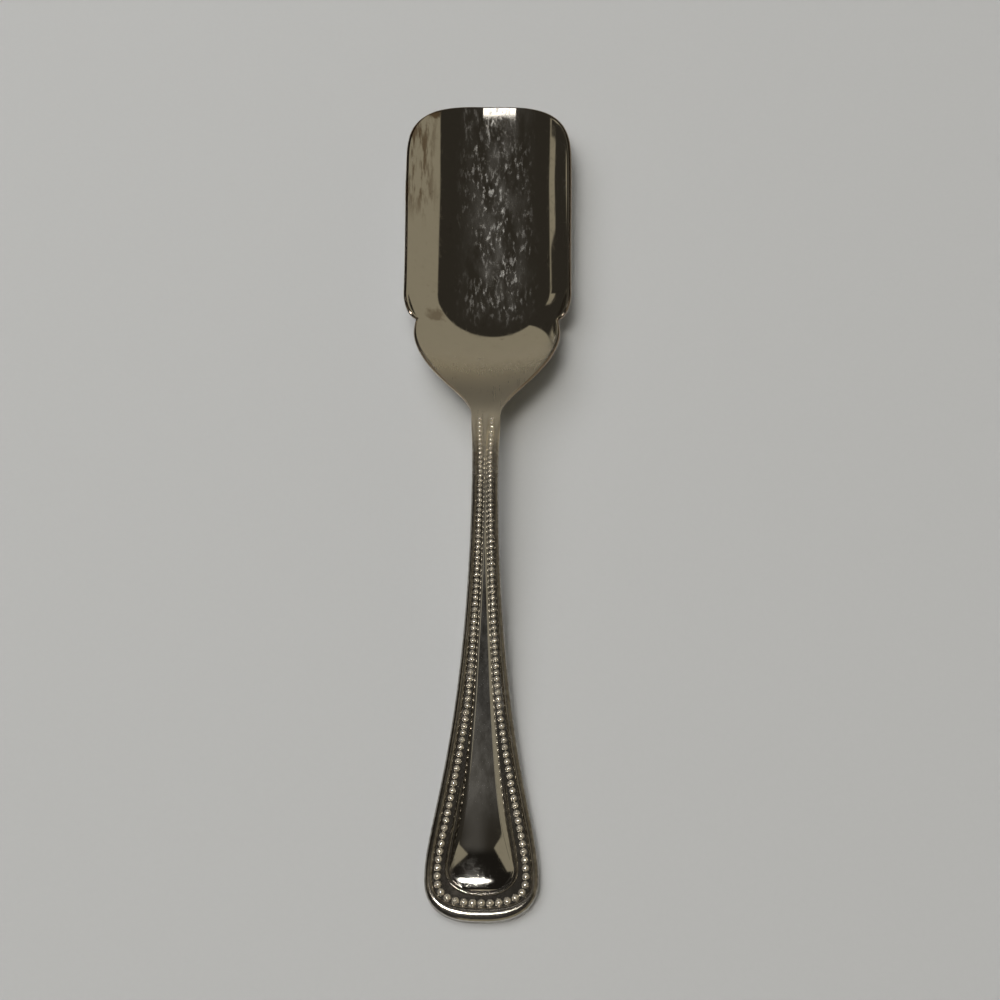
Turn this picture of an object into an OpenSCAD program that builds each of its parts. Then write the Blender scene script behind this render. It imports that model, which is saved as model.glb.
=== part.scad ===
// Cheese scoop with a trough-shaped bowl and a bead-bordered handle.
// The scoop lies on its back: +Y runs from the handle's end to the bowl's tip, +Z is up.
// The origin is on the table, under the middle of the scoop.

/* [Overall] */
// Length from the handle's end to the bowl's tip
overall_len = 200; // [180:1:230]
// Depth of the flats worn on the underside where the scoop rests
rest_flat = 0.12; // [0.05:0.01:0.2]

/* [Bowl] */
// Length from the neck joint to the bowl's tip
bowl_len = 94; // [85:1:105]
// Width between the inner edges of the side walls' rims
bowl_w = 37; // [33:0.2:42]
// Depth from the rim to the floor
bowl_depth = 8; // [6.5:0.25:10.5]
// Thickness of the sheet
sheet_t = 1; // [0.8:0.1:1.5]
// Length of the rounded cutting edge
tip_len = 22; // [18:1:30]
// How far each side wall spreads from its lobe to the cutting edge
tip_flare = 0.5; // [0:0.1:1]
// Squareness of the rounded cutting edge
tip_power = 2.4; // [2:0.05:2.6]
// Rise of the floor at the tip
tip_rise = 1.2; // [0:0.1:2.5]
// Length over which the floor rises to the tip
tip_rise_len = 26; // [16:1:36]
// Length of the slope from the floor up to the neck
heel_len = 36; // [32:1:42]

/* [Shoulders] */
// How far the lower lobes stand inside the side walls
shoulder_in = 2.5; // [2:0.1:2.7]
// Distance from the neck joint to the lower lobes
shoulder_pos = 23.6; // [21:0.1:25]
// How far the notches stand inside the side walls
notch_in = 2.8; // [2.6:0.1:4]
// Distance from the neck joint to the notches
notch_pos = 27.5; // [26:0.1:29]
// Length of the curve from a notch out to the side wall
lobe_len = 6.7; // [4:0.1:8]
// Pull of the heel's outline along the neck
heel_neck_pull = 5.6; // [3:0.1:9]
// Pull of the heel's outline along the lobes
heel_lobe_pull = 11.4; // [7:0.1:13]

/* [Handle] */
// Width at the neck joint
neck_w = 6.2; // [5.6:0.1:8]
// Thickness at the middle of the neck joint
neck_t = 2.6; // [2:0.1:3.2]
// Height of the face at the neck joint
neck_z = 12; // [10:0.25:15]
// Width of the stem where it is narrowest
stem_w = 5.6; // [5:0.1:6.6]
// Thickness of the stem
stem_t = 3.2; // [2.6:0.1:4]
// Distance from the neck joint to the narrowest place
waist_pos = 11; // [8:0.5:16]
// Width of the grip where it is widest
grip_w = 22; // [19:0.25:26]
// Thickness of the grip
grip_t = 2.5; // [2:0.1:3.2]
// Height of the grip's upright edge
edge_t = 1.2; // [0.8:0.1:1.6]
// Length of the rounded end
end_len = 8.5; // [7:0.25:11]
// Squareness of the rounded end
end_power = 2.5; // [2:0.05:3]
// Drop of the face from the resting place to the end
end_drop = 0.8; // [0.4:0.1:1.2]
// Thickness at the middle of the end
end_t = 1.35; // [1.2:0.05:1.4]
// Distance from the end to the resting place
rest_pos = 16; // [12:0.5:22]
// Share of the handle over which the stem stays slender
stem_share = 0.674; // [0.55:0.01:0.75]
// Share of the handle taken by the swell of the grip
grip_share = 0.133; // [0.08:0.005:0.2]

/* [Border] */
// Width of the edge moulding on the stem
stem_edge_w = 1.2; // [0.8:0.05:1.25]
// Width of the edge moulding on the grip
grip_edge_w = 1.6; // [1.2:0.05:1.7]
// Width of the edge moulding at the middle of the end
end_edge_w = 2.75; // [1.8:0.05:2.8]
// Height of the edge moulding
edge_h = 0.75; // [0.4:0.05:1]
// Distance from the edge to the bead row on the stem
stem_inset = 1.74; // [1.7:0.02:1.8]
// Distance from the edge to the bead row on the grip
grip_inset = 2.5; // [2.4:0.02:2.9]
// Distance from the edge to the bead row at the middle of the end
end_inset = 3.5; // [3.5:0.05:4.3]
// Spacing of the beads at the neck
neck_pitch = 1; // [0.9:0.02:1.2]
// Spacing of the beads at the end
end_pitch = 1.68; // [1.5:0.02:2]
// Diameter of a bead, as a share of the spacing
bead_share = 0.86; // [0.7:0.02:0.95]
// Distance from the neck joint to the first bead
bead_start = 1; // [0.5:0.5:8]
// Width of the inner thread
thread_w = 0.6; // [0.4:0.05:0.8]
// Height of the inner thread
thread_h = 0.34; // [0.2:0.02:0.5]
// Gap between the inner thread and the panel
thread_gap = 0.24; // [0.1:0.02:0.4]
// Smallest gap between the inner thread and the beads, which sets where the thread starts
bead_gap = 0.1; // [0.05:0.01:0.2]

/* [Panel] */
// Distance from the bead row to the panel on the stem
stem_panel_gap = 0.62; // [0.56:0.01:0.66]
// Distance from the bead row to the panel on the grip
grip_panel_gap = 2.2; // [2:0.05:2.6]
// Length of the panel's rounded end
panel_round_len = 5; // [4:0.25:6]
// Squareness of the panel's rounded end
panel_power = 2.4; // [2:0.05:3]
// Height of the panel's ridge on the stem
ridge_h = 0.5; // [0.3:0.05:0.8]
// Height of the panel on the grip
panel_h = 1.4; // [0.8:0.05:1.8]

/* [Hidden] */

metal = [0.72, 0.70, 0.66];
dark_metal = [0.42, 0.41, 0.40];
bead_metal = [0.80, 0.77, 0.70];

tip_y = overall_len / 2;
end_y = -overall_len / 2;
joint_y = tip_y - bowl_len;
floor_z = sheet_t - rest_flat;
rest_z = grip_t - rest_flat;
rest_y = end_y + rest_pos;
wide_y = end_y + end_len;
waist_y = joint_y - waist_pos;
heel_y = joint_y + heel_len;
shoulder_w = bowl_w - 2 * shoulder_in;
notch_w = bowl_w - 2 * notch_in;

// Numbers of steps along the outlines and round the sections
heel_steps = 12;
lobe_steps = 6;
side_steps = 8;
tip_steps = 10;
arc_steps = 16;
neck_steps = 5;
stem_steps = 30;
end_steps = 11;
half_round_steps = 7;
thread_steps = 5;
bead_fn = 24;
// Last angle of a rounded end, just short of its middle
last_angle = 87;
// Smallest lift of the rim over the floor, which keeps the neck's section almost flat
least_lift = 0.03;
// Step along the bowl for measuring its slope
slope_step = 0.05;
// Shortest step from the panel's sides to its rounded end
side_step = 0.2;
// How fast the bowl's walls spread out of the neck
spread_power = 0.55;
// Share of the heel over which the neck thins to the sheet
thinning_share = 0.7;
// Size of the block that cuts the flats
block = 400;
// Lengths over which the moulding, ridge and thread swell, and their share of height at their starts
edge_fade = 14;
ridge_fade = 8;
thread_fade = 10;
fade_share = 0.35;
// How square the back is, from the oval stem to the flat grip
stem_back = 2;
grip_back = 8;
// Places across the back, as shares of the half-width
back_places = [1, 0.94, 0.82, 0.58, 0.25];
// Half-widths between which the border spreads from its stem sizes to its grip sizes
border_from = stem_w / 2;
border_to = grip_w * 0.27;
panel_from = stem_w * 0.75;
panel_to = grip_w * 0.45;
// Length of the panel's rounded nose, as a share of its half-width
panel_round = 2.2;
// How far the crest of the edge moulding stands in from the edge, as a power of the middle
edge_skew = 0.75;
// Shape of the panel's cross-section: share of the way in from its edge, share of its height
panel_shape = [[0, 0], [0.06, 0.36], [0.18, 0.64], [0.4, 0.86], [0.7, 0.97], [0.95, 1]];

function mix(a, b, t) = a + (b - a) * t;
function ease(t) = let (c = min(max(t, 0), 1)) c * c * (3 - 2 * c);
function bezier(a, b, c, d, t) =
    pow(1 - t, 3) * a + 3 * pow(1 - t, 2) * t * b + 3 * (1 - t) * t * t * c + pow(t, 3) * d;
function mirrored(p) = [-p.x, p.y, p.z];
function reversed(list) = [for (i = [len(list) - 1 : -1 : 0]) list[i]];

// Right-hand outline of the handle, from the neck joint to the middle of the end
neck_outline = [for (i = [0 : neck_steps - 1]) let (t = i / neck_steps)
    [mix(neck_w, stem_w, ease(t)) / 2, mix(joint_y, waist_y, t)]];
stem_outline = [for (i = [0 : stem_steps - 1]) let (t = i / stem_steps)
    [bezier(stem_w, stem_w, grip_w, grip_w, t) / 2,
     mix(waist_y, wide_y, bezier(0, stem_share, 1 - grip_share, 1, t))]];
end_outline = [for (i = [0 : end_steps]) let (a = last_angle * i / end_steps)
    [grip_w / 2 * pow(cos(a), 2 / end_power),
     wide_y - end_len * pow(sin(a) / sin(last_angle), 2 / end_power)]];
handle_outline = concat(neck_outline, stem_outline, end_outline);

// Unit vectors out of a right-hand outline, one at each of its points
function outward(list) = let (n = len(list)) [for (i = [0 : n - 1]) let (
    ahead = i == n - 1 ? [-list[i].x, list[i].y] : list[i + 1],
    step = ahead - list[max(i - 1, 0)]
) [-step.y, step.x] / norm(step)];
handle_out = outward(handle_outline);

// Height of the handle's face, which its border and panel stand on and which turns down at the end
function to_end(y) = pow(max(0, rest_y - y) / rest_pos, 2);
function face_z(y) = y < rest_y
    ? rest_z - end_drop * to_end(y)
    : mix(rest_z, neck_z, ease((y - rest_y) / (joint_y - rest_y)));

// Thickness of the handle under its face, along its middle and at its upright edges
function grip_part(y) = 1 - ease((y - rest_y) / (waist_y - rest_y));
function handle_t(y) = y < waist_y
    ? mix(mix(stem_t, grip_t, grip_part(y)), end_t, to_end(y))
    : mix(stem_t, neck_t, ease((y - waist_y) / waist_pos));
function handle_edge(y) = mix(sheet_t, edge_t, grip_part(y));
function handle_depth(y, u) = let (power = mix(stem_back, grip_back, grip_part(y)))
    mix(handle_t(y), handle_edge(y), pow(u, power));

// Sizes of the border at a point of the outline: they spread with the half-width up to the grip's
function spread(p, from, to) = p.y < wide_y ? 1 : ease((p.x - from) / (to - from));
function end_part(p) = pow(max(0, wide_y - p.y) / end_len, 2);
function edge_width(p) =
    mix(mix(stem_edge_w, grip_edge_w, spread(p, border_from, border_to)), end_edge_w, end_part(p));
function bead_inset(p) =
    mix(mix(stem_inset, grip_inset, spread(p, border_from, border_to)), end_inset, end_part(p));
function panel_gap(p) = mix(stem_panel_gap, grip_panel_gap, spread(p, panel_from, panel_to));

// Outline of the handle moved in to the bead row, or on to the panel
function inset_outline(share) = [for (i = [0 : len(handle_outline) - 1]) let (
    p = handle_outline[i]
) p - (bead_inset(p) + share * panel_gap(p)) * handle_out[i]];

// Right-hand outline of the panel: along the bead row, then round its own end
panel_end_y = end_y + end_inset + grip_panel_gap;
panel_round_y = panel_end_y + panel_round_len;
panel_inset = inset_outline(1);
panel_side = [for (p = panel_inset) if (p.y > panel_round_y + side_step) p];
panel_rows = [for (i = [0 : len(panel_inset) - 1]) if (handle_outline[i].y >= wide_y)
    [-panel_inset[i].y, panel_inset[i].x]];
function panel_half(y) = lookup(-y, panel_rows);
panel_end = [for (i = [0 : end_steps]) let (
    a = last_angle * i / end_steps,
    y = panel_round_y - panel_round_len * pow(sin(a) / sin(last_angle), 2 / panel_power)
) [panel_half(y) * pow(cos(a), 2 / panel_power), y]];
panel_outline = concat(panel_side, panel_end);
panel_out = outward(panel_outline);

// Closed solid through a row of rings whose first half faces their second half
module loft(rings) {
    n = len(rings);
    m = len(rings[0]);
    walls = [for (i = [0 : n - 2]) for (j = [0 : m - 1]) let (
        a = i * m + j,
        b = i * m + (j + 1) % m
    ) each [[a, b, b + m], [a, b + m, a + m]]];
    start = [for (j = [0 : m / 2 - 2]) each
        [[j, m - 1 - j, m - 2 - j], [j, m - 2 - j, j + 1]]];
    last = (n - 1) * m;
    stop = [for (j = [0 : m / 2 - 2]) each
        [[last + j, last + m - 2 - j, last + m - 1 - j], [last + j, last + j + 1, last + m - 2 - j]]];
    polyhedron(points = [for (ring = rings) each ring], faces = concat(walls, start, stop));
}

// Everything above the table
module above_table() {
    difference() {
        children();
        translate([-block / 2, -block / 2, -block])
            cube(block);
    }
}

// Height of the bowl's floor along its middle
function bowl_floor(y) =
    y < heel_y ? mix(floor_z, neck_z, ease((heel_y - y) / heel_len))
    : floor_z + tip_rise * pow(max(0, y - tip_y + tip_rise_len) / tip_rise_len, 2);

// Radius of the bowl's cross-section, from the rim's lift over the floor
function bowl_radius(y) = let (
    t = min((y - joint_y) / heel_len, 1),
    half = mix(neck_w, bowl_w, ease(pow(max(t, 0), spread_power))) / 2,
    rim = mix(neck_z, floor_z + bowl_depth, ease(t)),
    lift = y < heel_y ? max(rim - bowl_floor(y), least_lift) : bowl_depth
) (half * half + lift * lift) / (2 * lift);

function bowl_z(x, y) = let (r = bowl_radius(y)) bowl_floor(y) + r - sqrt(r * r - x * x);
function middle_t(y) = mix(neck_t, sheet_t, ease((y - joint_y) / (heel_len * thinning_share)));
function bowl_t(y, u) = mix(middle_t(y), sheet_t, u * u);

// Right-hand outline of the bowl, from the neck joint to the tip
shoulder_y = joint_y + shoulder_pos;
notch_y = joint_y + notch_pos;
lobe_y = notch_y + lobe_len;
round_y = tip_y - tip_len;
heel_outline = [for (i = [0 : heel_steps - 1]) let (t = i / heel_steps)
    [bezier(neck_w, neck_w, shoulder_w, shoulder_w, t) / 2,
     joint_y + bezier(0, heel_neck_pull, shoulder_pos - heel_lobe_pull, shoulder_pos, t)]];
lower_lobe = [for (i = [0 : 1]) let (t = i / 2)
    [mix(shoulder_w, notch_w, t * t) / 2, mix(shoulder_y, notch_y, t)]];
upper_lobe = [for (i = [0 : lobe_steps - 1]) let (a = 90 * i / lobe_steps)
    [mix(notch_w, bowl_w, sin(a)) / 2, lobe_y - lobe_len * cos(a)]];
side_outline = [for (i = [0 : side_steps - 1]) let (t = i / side_steps)
    [bowl_w / 2 + tip_flare * ease(t), mix(lobe_y, round_y, t)]];
tip_outline = [for (i = [0 : tip_steps]) let (a = last_angle * i / tip_steps)
    [(bowl_w / 2 + tip_flare) * pow(cos(a), 2 / tip_power),
     round_y + tip_len * pow(sin(a) / sin(last_angle), 2 / tip_power)]];
bowl_outline = concat(heel_outline, lower_lobe, upper_lobe, side_outline, tip_outline);

// Unit vector out of the bowl's hollow side
function bowl_normal(x, y) = let (
    r = bowl_radius(y),
    dx = x / sqrt(r * r - x * x),
    before = max(y - slope_step, joint_y),
    dy = (bowl_z(x, y + slope_step) - bowl_z(x, before)) / (y + slope_step - before),
    n = [-dx, y == joint_y ? 0 : -dy, 1]
) n / norm(n);

// One cross-section of the bowl: its inner arc, then its outer arc back
function bowl_ring(p) = let (
    r = bowl_radius(p.y),
    widest = asin(p.x / r),
    inner = [for (k = [0 : arc_steps]) let (x = r * sin(widest * (2 * k / arc_steps - 1)))
        [x, p.y, bowl_z(x, p.y)]],
    outer = [for (q = inner) q - bowl_t(q.y, q.x / p.x) * bowl_normal(q.x, q.y)]
) concat(inner, reversed(outer));

module bowl() {
    color(metal)
        above_table()
            loft([for (p = bowl_outline) bowl_ring(p)]);
}

// One section of the handle: flat face, upright edges and a rounded back; round the end the sections lean in
function handle_ring(p) = let (
    middle = [0, max(p.y, wide_y)],
    back = [for (u = back_places) let (q = mix(middle, p, u))
        [q.x, q.y, face_z(q.y) - handle_depth(q.y, u)]],
    right = concat([[p.x, p.y, face_z(p.y)]], back)
) concat(right, [for (q = reversed(right)) mirrored(q)]);

module handle() {
    color(metal)
        above_table()
            loft([for (p = handle_outline) handle_ring(p)]);
}

// Rounded section standing on the face, from an edge point inwards, with its crest moved by a power
function half_round_ring(p, out, width, height, steps, skew = 1) = [for (k = [0 : steps]) let (
    a = 180 * k / steps,
    q = p - width * pow((1 - cos(a)) / 2, skew) * out
) [q.x, q.y, face_z(q.y) + height * sin(a)]];

// Rings along the right-hand side, then back along the left-hand side
function both_sides(rings) = concat(rings, [for (ring = reversed(rings)) [for (q = ring) mirrored(q)]]);

module edge_thread() {
    rings = [for (i = [0 : len(handle_outline) - 1]) let (
        p = handle_outline[i],
        swell = mix(fade_share, 1, ease((joint_y - p.y) / edge_fade))
    ) half_round_ring(p, handle_out[i], edge_width(p), edge_h * swell, half_round_steps, edge_skew)];
    color(metal)
        loft(both_sides(rings));
}

module inner_thread() {
    room = bead_share * end_pitch / 2 + bead_gap + thread_w + thread_gap;
    wide = [for (i = [0 : len(panel_outline) - 1])
        if (i >= len(panel_side) || panel_gap(handle_outline[i]) > room) i];
    start_y = panel_outline[wide[0]].y;
    rings = [for (i = wide) let (
        p = panel_outline[i] + (thread_gap + thread_w) * panel_out[i],
        swell = mix(fade_share, 1, ease((start_y - panel_outline[i].y) / thread_fade))
    ) half_round_ring(p, panel_out[i], thread_w, thread_h * swell, thread_steps)];
    color(metal)
        loft(both_sides(rings));
}

// Distances along the bead row from its start, each with the point there
bead_row = [for (p = concat(inset_outline(0), [[0, end_y + end_inset]])) if (p.y < joint_y - bead_start) p];
function row_lengths(i = 0, sum = 0) = i == len(bead_row) ? []
    : let (next = sum + (i == 0 ? 0 : norm(bead_row[i] - bead_row[i - 1])))
      concat([next], row_lengths(i + 1, next));
bead_lengths = row_lengths();
row_len = bead_lengths[len(bead_lengths) - 1];
row_x = [for (i = [0 : len(bead_row) - 1]) [bead_lengths[i], bead_row[i].x]];
row_y = [for (i = [0 : len(bead_row) - 1]) [bead_lengths[i], bead_row[i].y]];

// The spacing grows steadily from the neck to the end, with one bead at the middle of the end
growth = ln(end_pitch / neck_pitch);
bead_count = round(row_len * growth / (end_pitch - neck_pitch));
function bead_place(i) = row_len * (exp(growth * i / bead_count) - 1) / (end_pitch / neck_pitch - 1);
function bead_d(s) = bead_share * mix(neck_pitch, end_pitch, s / row_len);

// One bead: a dome whose flat base lies on the handle's face
module bead(x, y, d) {
    slope = (face_z(y + d / 2) - face_z(y - d / 2)) / d;
    translate([x, y, face_z(y)])
        rotate([atan(slope), 0, 0])
            difference() {
                sphere(d = d, $fn = bead_fn);
                translate([-d, -d, -2 * d])
                    cube(2 * d);
            }
}

module bead_border() {
    color(bead_metal)
        for (i = [0 : bead_count]) {
            s = bead_place(i);
            x = lookup(s, row_x);
            y = lookup(s, row_y);
            bead(x, y, bead_d(s));
            if (i < bead_count)
                bead(-x, y, bead_d(s));
        }
}

// The panel's sections lean in round its end towards a point on the middle line
module centre_panel() {
    widest = grip_w / 2 - grip_inset - grip_panel_gap;
    focus_y = panel_end_y + panel_round * widest;
    rings = [for (p = panel_outline) let (
        middle = [0, max(p.y, focus_y)],
        swell = ease((joint_y - p.y) / ridge_fade),
        full = mix(ridge_h, panel_h, ease((panel_half(p.y) - stem_panel_gap) / (widest - stem_panel_gap))),
        height = full * mix(fade_share, 1, swell),
        right = [for (s = panel_shape) let (q = mix(p, middle, s[0]))
            [q.x, q.y, face_z(q.y) + height * s[1]]]
    ) concat(right, [for (q = reversed(right)) mirrored(q)])];
    color(dark_metal)
        loft(rings);
}

bowl();
handle();
edge_thread();
bead_border();
inner_thread();
centre_panel();
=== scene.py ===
"""Looks of a plated cheese scoop with a trough-shaped bowl and a bead-bordered handle.

Every piece stands in the part's own frame, in metres: +Y runs from the handle's end to the bowl's tip
and +Z is up. Each piece replaces one node of the part with a smooth, finished mesh of the same shape.
"""

import logging
import math
from dataclasses import dataclass
from enum import Enum
from typing import Union

import bmesh
import bpy
import numpy as np
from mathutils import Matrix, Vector


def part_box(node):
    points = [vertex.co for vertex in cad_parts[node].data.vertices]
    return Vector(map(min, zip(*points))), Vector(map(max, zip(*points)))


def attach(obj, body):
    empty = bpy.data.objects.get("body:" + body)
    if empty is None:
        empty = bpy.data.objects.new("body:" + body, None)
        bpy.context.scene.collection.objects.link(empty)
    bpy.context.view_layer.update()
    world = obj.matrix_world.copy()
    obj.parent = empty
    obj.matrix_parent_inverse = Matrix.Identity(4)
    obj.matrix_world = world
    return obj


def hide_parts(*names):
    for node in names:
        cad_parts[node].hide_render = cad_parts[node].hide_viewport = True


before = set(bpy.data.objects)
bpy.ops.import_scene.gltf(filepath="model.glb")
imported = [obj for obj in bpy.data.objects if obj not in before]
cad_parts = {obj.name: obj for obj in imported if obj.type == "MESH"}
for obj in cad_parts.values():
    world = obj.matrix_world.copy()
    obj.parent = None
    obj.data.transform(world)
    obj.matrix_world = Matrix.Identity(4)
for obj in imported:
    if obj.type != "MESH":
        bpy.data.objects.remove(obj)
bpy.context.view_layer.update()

BODY = "root"
MM = 0.001
# Attribute for tarnish and painted shade: 1 at the bottom of a groove and 0 on a worn crest, and also 1 on
# the bowl's rim and the handle's upright edges, where it paints shade
TARNISH_AND_SHADE = "tarnish_and_shade"
# Attribute of the bead path: the angle at which the handle's face leans there
LEAN = "lean"
# Points closer than this are sewn together
SEAM = 0.0001 * MM
# Keeps a run of no length from dividing by zero
TINY = 1e-18
SHARP_ANGLE = math.radians(50)
# Rounded ends stop a little short of the quarter turn that would bring them to a point
LAST_ANGLE = math.radians(87)

Colour = tuple[float, float, float]
Values = Union[float, np.ndarray]
Socket = bpy.types.NodeSocket
Input = Union[Socket, float, int, bool, str, tuple]
Inputs = dict[Union[str, int], Input]
log = logging.getLogger("cheese_scoop")


class Slot(str, Enum):
    """Material slots of the part's record."""

    BOWL = "bowl_plate"
    HANDLE = "handle_plate"
    BEADS = "bead_plate"
    PANEL = "panel_plate"


def mix(a: Values, b: Values, t: Values) -> Values:
    """Goes from a to b as t goes from 0 to 1."""
    return a + (b - a) * t


def ease(t: Values) -> Values:
    """Smooth step from 0 to 1, flat at both ends."""
    c = np.clip(t, 0.0, 1.0)
    return c * c * (3.0 - 2.0 * c)


def bezier(a: float, b: float, c: float, d: float, t: np.ndarray) -> np.ndarray:
    """Cubic curve from a to d that is pulled by b and c."""
    return (1 - t) ** 3 * a + 3 * (1 - t) ** 2 * t * b + 3 * (1 - t) * t * t * c + t**3 * d


def unit(vectors: np.ndarray) -> np.ndarray:
    """Vectors of length one along the last axis."""
    return vectors / np.linalg.norm(vectors, axis=-1, keepdims=True)


def mirrored(points: np.ndarray) -> np.ndarray:
    """The same points on the other side of the scoop's middle plane."""
    return points * np.array([-1.0, 1.0, 1.0])


def outward(outline: np.ndarray) -> np.ndarray:
    """Unit vectors out of a right-hand outline that ends at the middle line.

    Args:
        outline: Points in plan, in order.

    Returns:
        The vectors, one at each point.
    """
    beyond = outline[-1:] * np.array([-1.0, 1.0])
    step = np.gradient(np.concatenate([outline, beyond]), axis=0)[:-1]
    return unit(np.stack([-step[:, 1], step[:, 0]], axis=1))


def steps(count: int, last: bool = False) -> np.ndarray:
    """Shares from 0 towards 1 in even steps.

    Args:
        count: Number of steps.
        last: Whether the share 1 is included.

    Returns:
        The shares, as an array.
    """
    return np.linspace(0.0, 1.0, count + 1)[: count + int(last)]


def round_end(power: float, count: int) -> tuple[np.ndarray, np.ndarray]:
    """Curve of a rounded end, from its side to its middle.

    Args:
        power: How square it is: 2 gives an ellipse.
        count: Number of steps.

    Returns:
        Shares of the half-width, from 1 down, and of the length, from 0 to 1.
    """
    a = LAST_ANGLE * steps(count, last=True)
    along = (np.sin(a) / math.sin(LAST_ANGLE)) ** (2 / power)
    return np.cos(a) ** (2 / power), along


def joined(*parts: tuple[np.ndarray, np.ndarray]) -> np.ndarray:
    """One run of places in plan from several pairs of x and y."""
    return np.concatenate([np.stack(part, axis=1) for part in parts])


def raised(plan: np.ndarray, z: np.ndarray) -> np.ndarray:
    """Places in plan with their heights added."""
    return np.concatenate([plan, z[..., None]], axis=-1)


def both_sides(right: np.ndarray, axis: int) -> np.ndarray:
    """Right-hand places, followed by the left-hand ones in reverse along an axis."""
    return np.concatenate([right, np.flip(mirrored(right), axis)], axis=axis)


def linked(name: str, data: bpy.types.ID) -> bpy.types.Object:
    """Adds an object to the scene.

    Args:
        name: Its name.
        data: Its mesh, camera or lamp.

    Returns:
        The new object.
    """
    thing = bpy.data.objects.new(name, data)
    bpy.context.scene.collection.objects.link(thing)
    return thing


def aimed(thing: bpy.types.Object, place: tuple, aim: tuple) -> None:
    """Puts a camera or a lamp in its place and points it."""
    thing.location = place
    thing.rotation_euler = (Vector(aim) - Vector(place)).to_track_quat("-Z", "Y").to_euler()


class Draft:
    """Grids of points that are sewn into one closed mesh."""

    def __init__(self) -> None:
        """Starts an empty mesh with a layer for the depth in a groove, which also carries painted shade on
        rims and edges.
        """
        self.mesh = bmesh.new()
        self.layer = self.mesh.verts.layers.float.new(TARNISH_AND_SHADE)

    def grid(self, points: np.ndarray, marks: np.ndarray) -> None:
        """Adds a sheet of four-sided faces.

        Args:
            points: Places, as rows by columns by three.
            marks: Mark at each place, as rows by columns: the depth in a groove, and painted shade on a rim
                or edge.
        """
        rows = []
        for line, values in zip(points, marks):
            row = [self.mesh.verts.new(place) for place in line]
            for vert, value in zip(row, values):
                vert[self.layer] = float(value)
            rows.append(row)
        for near, far in zip(rows, rows[1:]):
            for j in range(len(near) - 1):
                self.mesh.faces.new((near[j], near[j + 1], far[j + 1], far[j]))

    def tube(self, rings: np.ndarray, marks: np.ndarray, closed_end: bool = True) -> None:
        """Adds a closed tube through rings whose first half faces their second half.

        Args:
            rings: Places, as rings by points by three.
            marks: Mark at each place: the depth in a groove, and painted shade on a rim or edge.
            closed_end: Whether the last ring gets a lid.
        """
        self.grid(*(np.concatenate([values, values[:, :1]], axis=1) for values in (rings, marks)))
        half = rings.shape[1] // 2
        for k in (0, -1) if closed_end else (0,):
            ends = rings[k], marks[k]
            self.grid(*(np.stack([end[:half], end[: half - 1 : -1]], axis=1) for end in ends))

    def sew(self, name: str) -> bpy.types.Object:
        """Joins the sheets at their shared points and makes an object of them.

        Args:
            name: Name of the piece.

        Returns:
            The object, linked to the scene, with smooth faces that point outwards.
        """
        bmesh.ops.remove_doubles(self.mesh, verts=self.mesh.verts, dist=SEAM)
        bmesh.ops.dissolve_degenerate(self.mesh, edges=self.mesh.edges, dist=SEAM)
        bmesh.ops.recalc_face_normals(self.mesh, faces=self.mesh.faces)
        data = bpy.data.meshes.new(name)
        self.mesh.to_mesh(data)
        self.mesh.free()
        data.shade_smooth()
        data.set_sharp_from_angle(angle=SHARP_ANGLE)
        return linked(name, data)


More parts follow.
